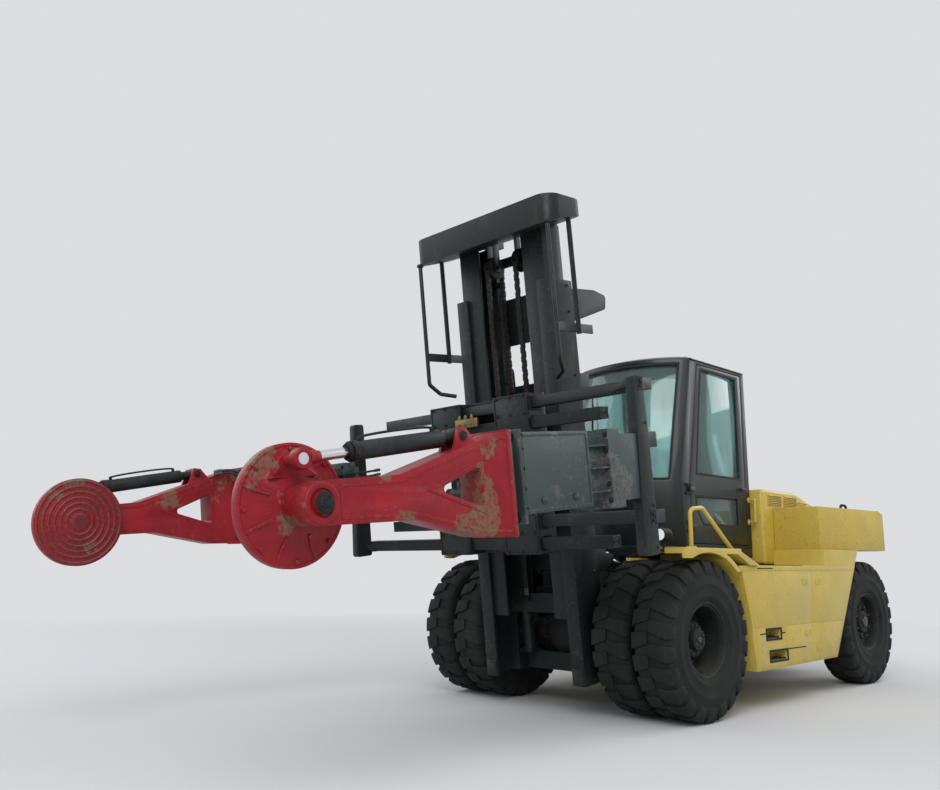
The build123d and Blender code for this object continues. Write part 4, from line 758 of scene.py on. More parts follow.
class HANDLER_OT_running_gear(bpy.types.Operator):
    """Chassis, axles, knuckles and engine with driveshaft, lines and bolts"""
    bl_idname = "tyre_handler.running_gear"
    bl_label = "Running gear"

    def execute(self, context):
        dress_nodes([("chassis", "black_steel", 0.004), ("drive_axle", "black_steel", 0.006),
                     ("tilt_feet", "black_steel", 0.004), ("steer_axle", "black_steel", 0.005),
                     ("steer_rod", "rod_chrome", 0.001), ("engine_block", "engine_iron", 0.02)])
        for side, sign in SIDES:
            dress_node(f"knuckle_{side}", "black_steel", 0.004)
            form = Form()
            form.bolts([(sign * 0.4305, y, z) for y in (1.485, 1.575, 2.285, 2.375) for z in (0.7, 0.88)],
                       (sign, 0, 0), 0.014, 0.014)
            form.bolts([(sign * 0.2995, y, 0.95) for y in (0.3, 0.6, 1.05, 1.8, 2.05, 2.6, 3.05, 3.5)], (-sign, 0, 0),
                       0.01, 0.01)
            for z in (0.94, 0.96):
                form.pipe([(sign * 0.285, y, z) for y in (0.7, 1.2, 2.2, 3.05)] + [(sign * 0.24, 3.3, z - 0.02)],
                          0.007)
            form.piece(f"rail_lines_{side}", "root", "black_steel", bevel=0.0008, segments=1)
            form = Form()
            form.turned([(0.0, 0.06), (0.01, 0.06), (0.014, 0.05), (0.014, 0.02), (0.022, 0.018), (0.026, 0.008)],
                        (sign * KINGPIN_X, STEER_Y, 0.83), "z", 32, closed=False)
            form.bolts(circle((sign * KINGPIN_X, STEER_Y, 0.838), "z", 0.042, turns(4, 0.6)), UP, 0.008, 0.008)
            form.piece(f"kingpin_caps_{side}", "root", "black_steel", bevel=0.0012)
        form = Form()
        for way in (1, -1):
            form.bolts(circle((0.245 * way, 0, WHEEL_R), "x", 0.17, turns(14, math.pi / 14)), (way, 0, 0), 0.011,
                       0.012)
        form.turned([(0.418, 0.085), (0.44, 0.085), (0.445, 0.06), (0.47, 0.058), (0.475, 0.04), (0.52, 0.04),
                     (0.525, 0.052), (0.9, 0.052), (1.46, 0.052), (1.485, 0.052), (1.49, 0.04), (1.53, 0.04),
                     (1.535, 0.06), (1.56, 0.062), (1.565, 0.08), (1.6, 0.08)], (0, 0, WHEEL_R), "y", 36, closed=False)
        for y in (0.428, 1.585):
            form.bolts(circle((0, y, WHEEL_R), "y", 0.07, turns(6)), (0, 1, 0), 0.008, 0.014)
        form.piece("driveshaft", "root", "black_steel", bevel=0.0012, segments=1)
        form = Form()
        form.prism("x", [(1.6, 0.56), (2.18, 0.56), (2.235, 0.62), (2.235, 1.06), (2.18, 1.12), (1.7, 1.12),
                         (1.6, 0.9)], -0.19, 0.19)
        for k in range(6):
            y = 1.68 + 0.085 * k
            form.prism("x", [(y, 0.552), (y + 0.018, 0.552), (y + 0.018, 0.562), (y, 0.562)], -0.175, 0.175)
            for x in (-0.205, 0.19):
                form.block(x, x + 0.015, y, y + 0.018, 0.6, 1.05)
        form.turned([(1.58, 0.12), (1.6, 0.13), (1.64, 0.13), (1.65, 0.11)], (0, 0, WHEEL_R), "y", 36, closed=False)
        form.piece("gearbox", "root", "engine_iron", bevel=0.006)
        form = Form()
        for y in (2.32, 2.62, 2.92, 3.22):
            for x in (-0.276, 0.27):
                form.band("x", y - 0.1, y + 0.13, 1.12, 1.36, 0.012, x, x + 0.006)
            for way in (1, -1):
                form.bolts([(0.272 * way, y + dy, z) for dy in (-0.085, 0.115) for z in (1.135, 1.345)], (way, 0, 0),
                           0.007, 0.01)
        for x in (-0.15, 0.15):
            form.prism("y", [(x - 0.09, 1.745), (x + 0.09, 1.745), (x + 0.07, 1.8), (x - 0.07, 1.8)], 2.3, 3.35)
        form.pipe([(0.265, 2.4, 1.62), (0.34, 2.4, 1.62), (0.35, 2.6, 1.64), (0.35, 3.1, 1.64), (0.34, 3.3, 1.62),
                   (0.265, 3.3, 1.62)], 0.045)
        form.piece("engine_covers", "root", "engine_iron", bevel=0.003)
        return {"FINISHED"}


def side_panels(form):
    """Flush panels on the body box's side, with the gaps that part them, left side."""
    for outline in (
        [(0.785, 0.752), (0.735, 0.95), (0.648, 1.26), (2.03, 1.26), (1.958, 0.752)],
        [(1.42, 0.742), (1.952, 0.742), (1.905, 0.392), (1.42, 0.388)],
        [(0.818, 0.382), (0.818, 0.742), (0.985, 0.742), (0.985, 0.384)],
        [(1.968, 0.752), (2.045, 1.26), (3.06, 1.26), (2.76, 0.86), (2.715, 0.752)],
        [(1.917, 0.392), (1.963, 0.742), (2.705, 0.742), (2.485, 0.394)],
        [(0.56, 1.272), (0.555, 1.314), (3.05, 1.314), (3.065, 1.272)],
    ):
        form.prism("x", outline, BODY_X - 0.004, BODY_X + 0.003)


def step_grip(form):
    """Open step treads with teeth, inside the steps' mouths, left side."""
    for y0, y1, z0, z1 in ((1.01, 1.29, 0.64, 0.72), (1.06, 1.4, 0.44, 0.52)):
        form.band("x", y0 - 0.018, y1 + 0.018, z0 - 0.018, z1 + 0.018, 0.019, BODY_X - 0.003, BODY_X + 0.005)
        for k in range(3):
            x = BODY_X - 0.022 - 0.04 * k
            form.block(x - 0.004, x + 0.004, y0 + 0.002, y1 - 0.002, z0 - 0.002, z0 + 0.012)
            for i in range(int((y1 - y0) / 0.025)):
                y = y0 + 0.012 + 0.025 * i
                form.prism("x", [(y, z0 + 0.01), (y + 0.012, z0 + 0.01), (y + 0.006, z0 + 0.02)], x - 0.0035,
                           x + 0.0035)


def fender_trim(form):
    """Rail feet, a deck panel and its bolts on the fender, left side."""
    for y, deck in ((-0.09, 1.47), (0.64, 1.445)):
        form.turned([(0.0, 0.048), (0.01, 0.048), (0.016, 0.03), (0.016, 0.022), (0.0, 0.022)], (1.38, y, deck), "z",
                    28)
        form.bolts(circle((1.38, y, deck + 0.008), "z", 0.037, (0.8, 2.4, 3.9, 5.5)), UP, 0.007, 0.008)
    form.band("z", 0.8, 1.29, -0.04, 0.545, 0.012, 1.468, 1.4745)
    form.bolts([(x, y, 1.472) for x in (0.83, 1.045, 1.265) for y in (-0.015, 0.52)], UP, 0.009, 0.008)


def deck_grip(form):
    """Anti-slip ribs where the driver steps up, left side."""
    for count, first, pitch, width, side, z, high, x0, x1 in (
        (11, 0.93, 0.095, 0.035, 0.007, 1.317, 0.01, 0.98, 1.43),
        (8, 0.02, 0.06, 0.03, 0.006, 1.468, 0.008, 0.85, 1.24),
    ):
        for i in range(count):
            y = first + pitch * i
            form.prism("x", [(y, z), (y + width, z), (y + width - side, z + high), (y + side, z + high)], x0, x1)


def latch(form, place):
    """A flush paddle latch in its cup, on the left side."""
    x, y, z = place
    form.band("x", y - 0.06, y + 0.06, z - 0.03, z + 0.03, 0.012, x - 0.002, x + 0.006)
    form.prism("x", [(y - 0.046, z - 0.017), (y + 0.04, z - 0.017), (y + 0.047, z), (y + 0.04, z + 0.017),
                     (y - 0.046, z + 0.017)], x - 0.001, x + 0.004)
    form.turned([(0.0, 0.01), (0.007, 0.01), (0.008, 0.006)], (x, y + 0.022, z), "x", 20, closed=False)


def hood_trim(form, sign):
    """Louvres and handle on one side of the hood."""
    x = sign * 0.9
    rise = sign * 0.012
    for y0, y1 in ((2.3, 2.62), (2.68, 3.0)):
        form.band("x", y0, y1, 1.975, 2.105, 0.01, x - sign * 0.002, x + sign * 0.006)
        for i in range(6):
            z = 1.99 + 0.019 * i
            form.prism("y", [(x, z), (x + rise, z + 0.002), (x + rise, z + 0.006), (x, z + 0.015)], y0 + 0.012,
                       y1 - 0.012)
    form.pipe([(sign * x, y, z) for x, y, z in ((0.895, 3.04, 2.04), (0.93, 3.04, 2.04), (0.93, 3.06, 2.04),
                                                (0.93, 3.18, 2.035), (0.93, 3.2, 2.035), (0.895, 3.2, 2.035))], 0.01)


def weight_trim(form):
    """Rear grille and lifting eyes of the counterweight."""
    face = 4.6285
    form.band("y", -0.6, 0.6, 1.545, 1.735, 0.028, face - 0.012, face + 0.014)
    for i in range(7):
        z = 1.577 + 0.021 * i
        form.prism("x", [(face - 0.008, z), (face + 0.01, z - 0.008), (face + 0.01, z - 0.003),
                         (face - 0.008, z + 0.007)], -0.572, 0.572)
    for x in (-0.28, 0.0, 0.28):
        form.block(x - 0.008, x + 0.008, face - 0.01, face + 0.012, 1.572, 1.708)
    for x in (-1.15, 1.15):
        form.pipe([(x, 3.62, 1.94), (x, 3.62, 2.02), (x, 3.66, 2.035), (x, 3.74, 2.035), (x, 3.78, 2.02),
                   (x, 3.78, 1.94)], 0.016)
        for y in (3.62, 3.78):
            form.turned([(0.0, 0.04), (0.012, 0.04), (0.018, 0.026), (0.018, 0.014)], (x, y, 1.955), "z", 24,
                        closed=False)


def lamp_cluster(form, sign):
    """Housing of one tail lamp."""
    form.band("y", sign * 0.9, sign * 1.14, 1.59, 1.69, 0.014, 4.618, 4.648)
    form.block(min(sign * 0.91, sign * 1.13), max(sign * 0.91, sign * 1.13), 4.62, 4.632, 1.6, 1.68)
    form.block(sign * 1.02 - 0.004, sign * 1.02 + 0.004, 4.628, 4.646, 1.602, 1.678)


class HANDLER_OT_bodywork(bpy.types.Operator):
    """Counterweight, hood, side bodies and fenders with panels, steps, grilles and lamps"""
    bl_idname = "tyre_handler.bodywork"
    bl_label = "Bodywork"

    def execute(self, context):
        dress_nodes([("counterweight", "cast_weight", 0.03), ("hood", "yellow_paint", 0.03),
                     ("side_bodies", "yellow_paint", 0.012), ("fenders", "yellow_paint", 0.008),
                     ("grab_rails", "yellow_paint", 0.002)])
        for side, sign in SIDES:
            flip = sign < 0
            formed(side_panels).piece(
                f"side_panels_{side}", "root", "yellow_paint", bevel=0.0022, segments=2, mirror=flip)
            form = Form()
            step_grip(form)
            deck_grip(form)
            form.piece(f"step_treads_{side}", "root", "black_steel", bevel=0.0008, segments=1, mirror=flip)
            formed(fender_trim).piece(f"fender_trim_{side}", "root", "yellow_paint", bevel=0.001, mirror=flip)
            form = Form()
            for y, z in ((1.86, 1.16), (2.16, 1.16), (1.86, 0.66), (2.1, 0.5)):
                latch(form, (BODY_X + 0.003, y, z))
            form.piece(f"panel_latches_{side}", "root", "yellow_paint", bevel=0.0012, mirror=flip)
            form = Form()
            # Thin black strips laid a few millimetres proud of the panels: painted shadow standing for slots along the
            # steps' edges and the deck's edge, with no slot cut
            for y0, y1, z in ((0.894, 1.19, 1.293), (1.41, 1.796, 0.53), (0.88, 1.0, 0.69), (1.3, 1.373, 0.684)):
                form.prism("x", [(y0, z - 0.006), (y1, z - 0.006), (y1 + 0.006, z), (y1, z + 0.006), (y0, z + 0.006),
                                 (y0 - 0.006, z)], BODY_X - 0.002, BODY_X + 0.0045)
            form.piece(f"slot_shade_strips_{side}", "root", "seal_rubber", bevel=0.0012, mirror=flip)
            formed(hood_trim, sign).piece(f"hood_louvres_{side}", "root", "yellow_paint", bevel=0.001)
            formed(lamp_cluster, sign).piece(f"tail_lamp_housing_{side}", "root", "cab_plastic", bevel=0.002)
            for name, finish, x0, x1 in (("stop", "lamp_red", 0.916, 1.012), ("turn", "lamp_amber", 1.028, 1.124)):
                form = Form()
                form.prism("z", [(sign * x0, 4.63), (sign * (x0 + 0.012), 4.642), (sign * (x1 - 0.012), 4.642),
                                 (sign * x1, 4.63)], 1.606, 1.674)
                form.piece(f"{name}_lens_{side}", "root", finish, bevel=0.003)
        formed(weight_trim).piece("weight_grille", "root", "black_steel", bevel=0.001)
        form = Form()
        form.band("z", -0.86, 0.86, 2.21, 2.99, 0.01, 2.149, 2.1535)
        for x in (-0.5, 0.5):
            form.block(x - 0.16, x + 0.16, 2.26, 2.4, 2.149, 2.156)
            for k in range(5):
                form.prism("y", [(x - 0.15, 2.155), (x + 0.15, 2.155), (x + 0.145, 2.161), (x - 0.145, 2.161)],
                           2.272 + 0.026 * k, 2.28 + 0.026 * k)
        form.piece("hood_seams", "root", "yellow_paint", bevel=0.001)
        form = Form()
        form.turned([(0.62, 0.0245), (0.64, 0.0245), (1.1, 0.0245), (1.105, 0.04), (1.125, 0.04), (1.13, 0.02)],
                    (0, 4.53, 0), "z", 28, closed=False)
        form.pipe([(0, 4.53, 1.12), (0, 4.53, 1.145), (0.03, 4.53, 1.147), (0.03, 4.54, 1.138), (0.03, 4.56, 1.12)],
                  0.006)
        form.piece("tow_pin", "root", "bolt_steel", bevel=0.001)
        return {"FINISHED"}


UPPER_LIGHT = ((1.035, 2.24), (1.95, 2.24), (1.95, 3.39), (1.203, 3.39))
LOWER_LIGHT = ((1.15, 1.72), (1.88, 1.72), (1.88, 2.05), (1.01, 2.03), (1.01, 1.9))
DOOR_EDGE = ((0.908, 1.538), (2.042, 1.538), (2.042, 3.422), (1.14, 3.422), (0.908, 2.15))


def screen_point(x, z, out=0.0):
    """A point of the bowed front glass's outer face."""
    corner = 0.75 + (z - 2.16) * 0.2023
    radius = 1.075
    return (x, corner - 0.33 + radius - math.sqrt(radius**2 - x * x) - out, z)


def door_seals(form, sign):
    """Rubber round both lights of a door and along its edge."""
    for outline in (UPPER_LIGHT, LOWER_LIGHT):
        form.ring("x", outline, 0.022, sign * 0.7525, sign * 0.7775)
        form.ring("x", outline, 0.018, sign * 0.7385, sign * 0.745)
    form.ring("x", DOOR_EDGE, 0.014, sign * 0.7235, sign * 0.7285)


def screen_seal(form):
    """Rubber round the front glass and its dark border."""
    for z in (2.176, 3.404):
        form.pipe([screen_point(-0.69 + 0.115 * i, z, 0.002) for i in range(13)], 0.013)
    for x in (-0.69, 0.69):
        form.pipe([screen_point(x, 2.176 + 0.1535 * i, 0.002) for i in range(9)], 0.013)
    form.band("y", -0.655, 0.655, 2.212, 3.408, 0.022, 2.106, 2.124)


def wiper(form):
    """Front wiper: motor boss, arm and blade on the glass."""
    low = screen_point(0.12, 2.17, 0.03)
    form.turned([(0.0, 0.03), (-0.02, 0.028), (-0.034, 0.018)], low, "y", 24, closed=False)
    top = screen_point(-0.16, 2.78, 0.03)
    form.pipe([Vector(low) - Vector((0, 0.03, 0)), Vector(screen_point(0.06, 2.3, 0.045)),
               Vector(screen_point(-0.1, 2.62, 0.04)), Vector(top)], 0.007)
    form.pipe([screen_point(-0.1, 2.42, 0.014), screen_point(-0.14, 2.66, 0.016), screen_point(-0.18, 2.9, 0.016),
               screen_point(-0.22, 3.14, 0.014)], 0.008)
    form.pipe([screen_point(-0.13, 2.62, 0.024), screen_point(-0.16, 2.78, 0.034), screen_point(-0.19, 2.94, 0.024)],
              0.006)


def cab_grips(form, sign):
    """Grab handle at the cab's rear corner."""
    x = sign * 0.85
    form.pipe([(sign * 0.776, 2.098, 2.03), (x, 2.098, 2.03), (x, 2.098, 2.025), (x, 2.086, 1.8), (x, 2.086, 1.788),
               (sign * 0.776, 2.086, 1.788)], 0.014)
    for y, z in ((2.098, 2.03), (2.086, 1.788)):
        form.turned([(0.0, 0.03), (sign * 0.006, 0.03), (sign * 0.01, 0.02)], (sign * 0.7745, y, z), "x", 24,
                    closed=False)


def roof_fittings(form):
    """Rain rail and screws of the roof panel."""
    form.pipe([(x, y, 3.462) for x, y in ((-0.78, 1.02), (-0.78, 1.5), (-0.78, 2.05), (-0.775, 2.13), (-0.7, 2.134),
                                          (0.0, 2.134), (0.7, 2.134), (0.775, 2.13), (0.78, 2.05), (0.78, 1.5),
                                          (0.78, 1.02))], 0.01)
    for x in (-0.75466, 0.75466):
        for y in (1.06, 2.09):
            form.turned([(0.0, 0.012), (0.004, 0.012), (0.007, 0.007)], (x, y, 3.4745), "z", 16, closed=False)


def cloth_cushion(name, mesh_form, cap):
    """A padded piece: remeshed, then swollen by the cloth simulation, no point further than the cap."""
    mesh = bpy.data.meshes.new(name)
    mesh_form.bm.to_mesh(mesh)
    mesh_form.bm.free()
    made = bpy.data.objects.new(name, mesh)
    scene = bpy.context.scene
    scene.collection.objects.link(made)
    remesh = made.modifiers.new("weave", "REMESH")
    remesh.mode = "VOXEL"
    remesh.voxel_size = 0.0145
    apply_shape(made)
    rest = [v.co.copy() for v in made.data.vertices]
    last_frame = 20
    swell = made.modifiers.new("fill", "CLOTH")
    swell.settings.use_pressure = True
    swell.settings.uniform_pressure_force = 4.0
    swell.settings.effector_weights.gravity = 0.0
    swell.settings.quality = 4
    swell.point_cache.frame_start = 1
    swell.point_cache.frame_end = last_frame
    for step in range(1, last_frame + 1):
        scene.frame_set(step)
    apply_shape(made)
    scene.frame_set(1)
    for vertex, start in zip(made.data.vertices, rest):
        move = vertex.co - start
        if move.length > cap:
            vertex.co = start + move * (cap / move.length)
    return made


def seat_channels(made, face_axis, lines, depth, on_face):
    """Presses sewn channels into the padded face along straight lines."""
    half = 0.016
    for vertex in made.data.vertices:
        co = vertex.co
        if on_face(co):
            for axis, place in lines:
                away = abs(co[axis] - place)
                if away < half:
                    co[face_axis[0]] += face_axis[1] * depth * (1 - (away / half) ** 2)


def seat_cushions():
    """Bottom cushion, back and headrest, each its own padded piece."""
    cushions = [cloth_cushion(name, Form().prism("x", outline, -half, half), cap) for name, outline, half, cap in (
        ("seat_bottom", [(1.345, 1.842), (1.36, 1.935), (1.56, 1.925), (1.76, 1.93), (1.8, 1.905),
                         (1.8, 1.842)], 0.222, 0.014),
        ("seat_back", [(1.79, 1.965), (1.865, 1.965), (1.925, 2.33), (1.935, 2.38), (1.885, 2.38),
                       (1.85, 2.25)], 0.208, 0.014),
        ("seat_headrest", [(1.905, 2.412), (1.955, 2.412), (1.968, 2.53), (1.92, 2.53)], 0.13, 0.01),
    )]
    bottom, back = cushions[:2]
    seat_channels(bottom, (2, -1), ((0, -0.11), (0, 0.11), (1, 1.55)), 0.01, lambda co: co.z > 1.9)
    seat_channels(back, (1, 1), ((0, -0.1), (0, 0.1), (2, 2.12), (2, 2.26)), 0.01,
                  lambda co: co.y < 1.8 + (co.z - 1.965) * 0.19)
    for made in cushions:
        smooth = made.modifiers.new("soft", "SUBSURF")
        smooth.levels = 1
        smooth.render_levels = 1
        apply_shape(made)
        made.data.materials.clear()
        made.data.materials.append(FINISHES["seat_cloth"])
        made.data.shade_smooth()
        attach(made, "root")
        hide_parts("seat")


def seat_shell(form):
    """Seat pan, side shields, back shell, armrests, headrest rods and bellows."""
    form.prism("x", [(1.335, 1.826), (1.33, 1.848), (1.82, 1.848), (1.87, 1.93), (1.885, 1.925), (1.85, 1.826)],
               -0.232, 0.232)
    form.prism("x", [(1.868, 1.95), (1.905, 1.95), (1.975, 2.4), (1.95, 2.405)], -0.214, 0.214)
    for x in (-0.262, 0.232):
        form.prism("x", [(1.36, 1.8), (1.35, 1.87), (1.76, 1.88), (1.8, 1.83), (1.78, 1.8)], x, x + 0.03)
    for x in (-0.3, 0.24):
        form.prism("x", [(1.48, 2.085), (1.47, 2.105), (1.48, 2.128), (1.84, 2.135), (1.85, 2.09)], x, x + 0.06)
        form.prism("x", [(1.815, 1.85), (1.855, 1.85), (1.86, 2.095), (1.825, 2.095)], x + 0.018, x + 0.042)
    for x in (-0.055, 0.055):
        form.bar((x, 1.945, 2.375), (x, 1.955, 2.44), 0.007, sides=12)
    for k in range(7):
        z = 1.56 + 0.034 * k
        inset = 0.01 * (k % 2)
        form.block(-0.208 + inset, 0.208 - inset, 1.442 + inset, 1.858 - inset, z, z + 0.034)


def driving_controls(form):
    """Steering wheel with its spinner knob, dash hood, pedals, levers and display."""
    tilt = Matrix.Translation((0, 1.09, 2.29)) @ Matrix.Rotation(math.radians(-33), 4, "X")
    before = set(form.bm.verts)
    form.turned([(0.013 * math.cos(turn), 0.184 + 0.015 * math.sin(turn)) for turn in turns(12)], (0, 0, 0), "z")
    form.turned([(-0.02, 0.052), (0.01, 0.052), (0.016, 0.04), (0.018, 0.015)], (0, 0, 0), "z", 28, closed=False)
    for turn in (0.5, 2.64, 4.71):
        out = Vector((math.cos(turn), math.sin(turn), 0))
        form.bar(out * 0.045, out * 0.178, 0.012, 0.01, sides=12)
    form.turned([(0.008, 0.01), (0.03, 0.012), (0.042, 0.024), (0.055, 0.024), (0.062, 0.014)], (0.13, 0.13, 0), "z",
                20, closed=False)
    bmesh.ops.transform(form.bm, matrix=tilt, verts=[v for v in form.bm.verts if v not in before])
    form.prism("x", [(0.745, 2.05), (0.735, 2.14), (0.79, 2.19), (0.905, 2.165), (0.945, 2.11), (0.935, 2.05)], -0.34,
               0.34)
    for x in (-0.24, -0.1, 0.16):
        form.prism("x", [(1.0, 1.58), (1.06, 1.64), (1.068, 1.634), (1.008, 1.572)], x - 0.045, x + 0.045)
        form.bar((x, 0.925, 1.7), (x, 1.03, 1.612), 0.009, sides=12)
    form.block(0.29, 0.48, 1.43, 1.83, 1.96, 2.05)
    for k in range(5):
        x, y = 0.33 + 0.028 * k, 1.5 + 0.01 * k
        form.bar((x, y, 2.045), (x, y - 0.015, 2.135), 0.006, sides=10)
        form.turned([(0.0, 0.008), (0.01, 0.015), (0.03, 0.017), (0.044, 0.01)], (x, y - 0.015, 2.128), "z", 16,
                    closed=False)
    form.block(-0.56, -0.36, 0.86, 0.93, 2.06, 2.23)
    form.band("y", -0.552, -0.368, 2.068, 2.222, 0.014, 0.928, 0.938)


def cab_lining(form):
    """Headlining, overhead console with vents, rear shelf and ribbed mat."""
    form.block(-0.66, 0.66, 1.1, 2.04, 3.395, 3.412)
    form.prism("x", [(1.11, 3.3), (1.16, 3.27), (1.33, 3.29), (1.36, 3.396), (1.1, 3.396)], -0.6, 0.6)
    for x in (-0.42, -0.14, 0.14, 0.42):
        form.turned([(0.0, 0.04), (-0.008, 0.04), (-0.012, 0.028)], (x, 1.25, 3.284), "z", 24, closed=False)
    form.prism("x", [(1.88, 1.535), (2.072, 1.535), (2.072, 2.19), (2.0, 2.21), (1.93, 2.15), (1.9, 1.9)], -0.7, 0.7)
    for i in range(16):
        y = 0.98 + 0.052 * i
        form.prism("x", [(y, 1.531), (y + 0.03, 1.531), (y + 0.025, 1.538), (y + 0.005, 1.538)], -0.64, 0.64)


class HANDLER_OT_cab(bpy.types.Operator):
    """Cab frame, roof, doors, glass, seals, wiper and interior"""
    bl_idname = "tyre_handler.cab"
    bl_label = "Cab"

    def execute(self, context):
        dress_nodes([("cab_base", "cab_paint", 0.006), ("cab_frame", "cab_paint", 0.006),
                     ("cab_roof", "cab_paint", 0.02), ("door_left", "cab_paint", 0.005),
                     ("door_right", "cab_paint", 0.005), ("cab_glass", "glass", 0.001),
                     ("door_glass_left", "glass", 0.001), ("door_glass_right", "glass", 0.001),
                     ("seat_base", "cab_plastic", 0.01), ("steering_column", "cab_plastic", 0.006)])
        dress_node("head_lamps", "black_steel", 0.004)
        for side, sign in SIDES:
            formed(door_seals, sign).piece(f"door_seals_{side}", f"door_{side}", "seal_rubber", bevel=0.002)
            formed(cab_grips, sign).piece(f"cab_grips_{side}", "root", "yellow_paint", bevel=0.001)
            form = Form()
            x, y, z = sign * 1.24, -0.3, 1.582
            form.turned([(-0.062, 0.05), (-0.064, 0.04), (-0.06, 0.02)], (x, y, z), "y", 40, closed=False)
            form.piece(f"lamp_lens_{side}", "root", "lamp", bevel=0.001)
            form = Form()
            form.turned([(-0.068, 0.05), (-0.068, 0.0585), (-0.03, 0.06), (-0.03, 0.057), (-0.058, 0.05)], (x, y, z),
                        "y", 40)
            for k in (-1, 1):
                form.bolt((x + 0.058 * k, y - 0.01, z), (k, 0, 0), 0.009, 0.012)
            form.prism("z", [(x - 0.05, y - 0.02), (x + 0.05, y - 0.02), (x + 0.05, y + 0.034), (x - 0.05, y + 0.034)],
                       1.453, 1.461)
            form.piece(f"lamp_bezel_{side}", "root", "black_steel", "lamp", bevel=0.001)
        formed(screen_seal).piece("screen_seal", "root", "seal_rubber", bevel=0)
        formed(wiper).piece("wiper", "root", "seal_rubber", bevel=0.0008)
        formed(roof_fittings).piece("roof_rail", "root", "cab_paint", "dark_paint", bevel=0)
        formed(seat_shell).piece("seat_shell", "root", "cab_plastic", bevel=0.004)
        formed(driving_controls).piece("driving_controls", "root", "cab_plastic", bevel=0.002)
        formed(cab_lining).piece("cab_lining", "root", "cab_plastic", bevel=0.005)
        seat_cushions()
        return {"FINISHED"}


def chain_links(form, x, y, z0, z1):
    """A straight run of leaf chain: pairs of plates on pins."""
    pitch = 0.044
    count = int((z1 - z0) / pitch)
    for i in range(count):
        z = z0 + pitch * (i + 0.5)
        lace = 0.0 if i % 2 else 0.006
        for k in (-3, -1, 1, 3):
            place = x + k * 0.0066 + (lace - 0.003)
            form.prism("x", [(y - 0.01, z - 0.028), (y + 0.01, z - 0.028), (y + 0.015, z - 0.018), (y + 0.011, z),
                             (y + 0.015, z + 0.018), (y + 0.01, z + 0.028), (y - 0.01, z + 0.028),
                             (y - 0.015, z + 0.018), (y - 0.011, z), (y - 0.015, z - 0.018)], place - 0.0026,
                       place + 0.0026)
        form.bar((x - 0.029, y, z - 0.018), (x + 0.029, y, z - 0.018), 0.0055, sides=8)


def chain_bend(form, x, y, z, radius):
    """The chain's links over its sheave."""
    count = 7
    for i in range(count):
        turn = math.pi * (i + 0.5) / count
        middle = Vector((x, y + radius * math.cos(turn), z + radius * math.sin(turn)))
        along = Vector((0, -math.sin(turn), math.cos(turn)))
        out = Vector((0, math.cos(turn), math.sin(turn)))
        for k in (-3, -1, 1, 3):
            side = x + k * 0.0066 + (0.003 if i % 2 else -0.003)
            outline = []
            for a, b in ((-0.027, -0.01), (-0.018, -0.014), (0.0, -0.01), (0.018, -0.014), (0.027, -0.01),
                         (0.027, 0.01), (0.018, 0.014), (0.0, 0.01), (-0.018, 0.014), (-0.027, 0.01)):
                at = middle + along * a + out * b
                outline.append((at.y, at.z))
            form.prism("x", outline, side - 0.0026, side + 0.0026)
        pin = middle - along * 0.022
        form.bar((x - 0.029, pin.y, pin.z), (x + 0.029, pin.y, pin.z), 0.0055, sides=8)


def gland(form, start, way, radius, bore, length=0.05):
    """Screwed cylinder head with spanner notches and a wiper ring round its rod."""
    start, way = Vector(start), Vector(way).normalized()
    side = way.orthogonal().normalized()
    other = way.cross(side)
    for low, high, outer in ((-0.035, -0.028, 1.06), (-0.022, length * 0.55, 1.1), (length * 0.6, length, 0.92)):
        form.loft([[form.bm.verts.new(start + way * along + (side * math.cos(turn) + other * math.sin(turn)) * r)
                    for turn in turns(28)]
                   for along, r in ((low, bore), (low, radius * outer), (high, radius * outer), (high, bore))])
    for turn in turns(4, 0.4):
        out = side * math.cos(turn) + other * math.sin(turn)
        at = start + out * radius * 1.04 + way * length * 0.15
        form.bar(at, at + out * radius * 0.12, 0.006, sides=10)


def pin_cap(form, place, way, radius):
    """A pin's end with its keeper plate and two screws."""
    place, way = Vector(place), Vector(way).normalized()
    form.bar(place, place + way * 0.006, radius, sides=36)
    form.bar(place + way * 0.005, place + way * 0.01, radius * 0.55, radius * 0.45, sides=28)
    form.bar(place + way * 0.005, place + way * 0.012, radius * 0.14, sides=12)
    side = way.orthogonal().normalized()
    for k in (-1, 1):
        form.bolt(place + side * radius * 0.72 * k + way * 0.005, way, radius * 0.12, 0.01)


def hose(name, body, points, radius):
    """A hydraulic hose between two fittings, with crimped collars at its ends."""
    Form().pipe(points, radius, 12).piece(name, body, "hose", lean=True, bevel=0)
    form = Form()
    for end, after in ((0, 1), (-1, -2)):
        at, way = Vector(points[end]), (Vector(points[after]) - Vector(points[end])).normalized()
        form.bar(at - way * 0.006, at + way * 0.022, radius * 1.35, sides=16)
        form.bar(at + way * 0.022, at + way * 0.034, radius * 1.55, sides=6)
        form.bar(at + way * 0.034, at + way * 0.065, radius * 1.3, sides=16)
    form.piece(f"{name}_ends", body, "bolt_steel", lean=True, bevel=0.0006, segments=1)


def mast_bolts(form):
    """Fasteners, stops and grease points of the outer mast, left side."""
    for z in (-0.3, -0.23, 0.64, 0.7, 0.76, 1.54, 1.6, 1.66, 2.24, 2.32, 2.4):
        form.bolts([(0.48, 0.4295, z), (0.3, 0.4295, z)], (0, 1, 0), 0.013, 0.014)
    for z in (0.02, 0.62, 1.22, 1.82, 2.42, 3.02, 3.27):
        form.turned([(0.0, 0.014), (0.004, 0.014), (0.006, 0.009), (0.014, 0.007), (0.017, 0.004)], (0.5995, 0.225, z),
                    "x", 14, closed=False)
    for z in (2.97, 3.05, 3.13, 3.21):
        form.bolt((0.6005, 0.33, z), (1, 0, 0), 0.01, 0.01)
    form.prism("x", [(-0.052, -0.348), (-0.052, -0.2), (-0.058, -0.206), (-0.058, -0.342)], 0.47, 0.592)


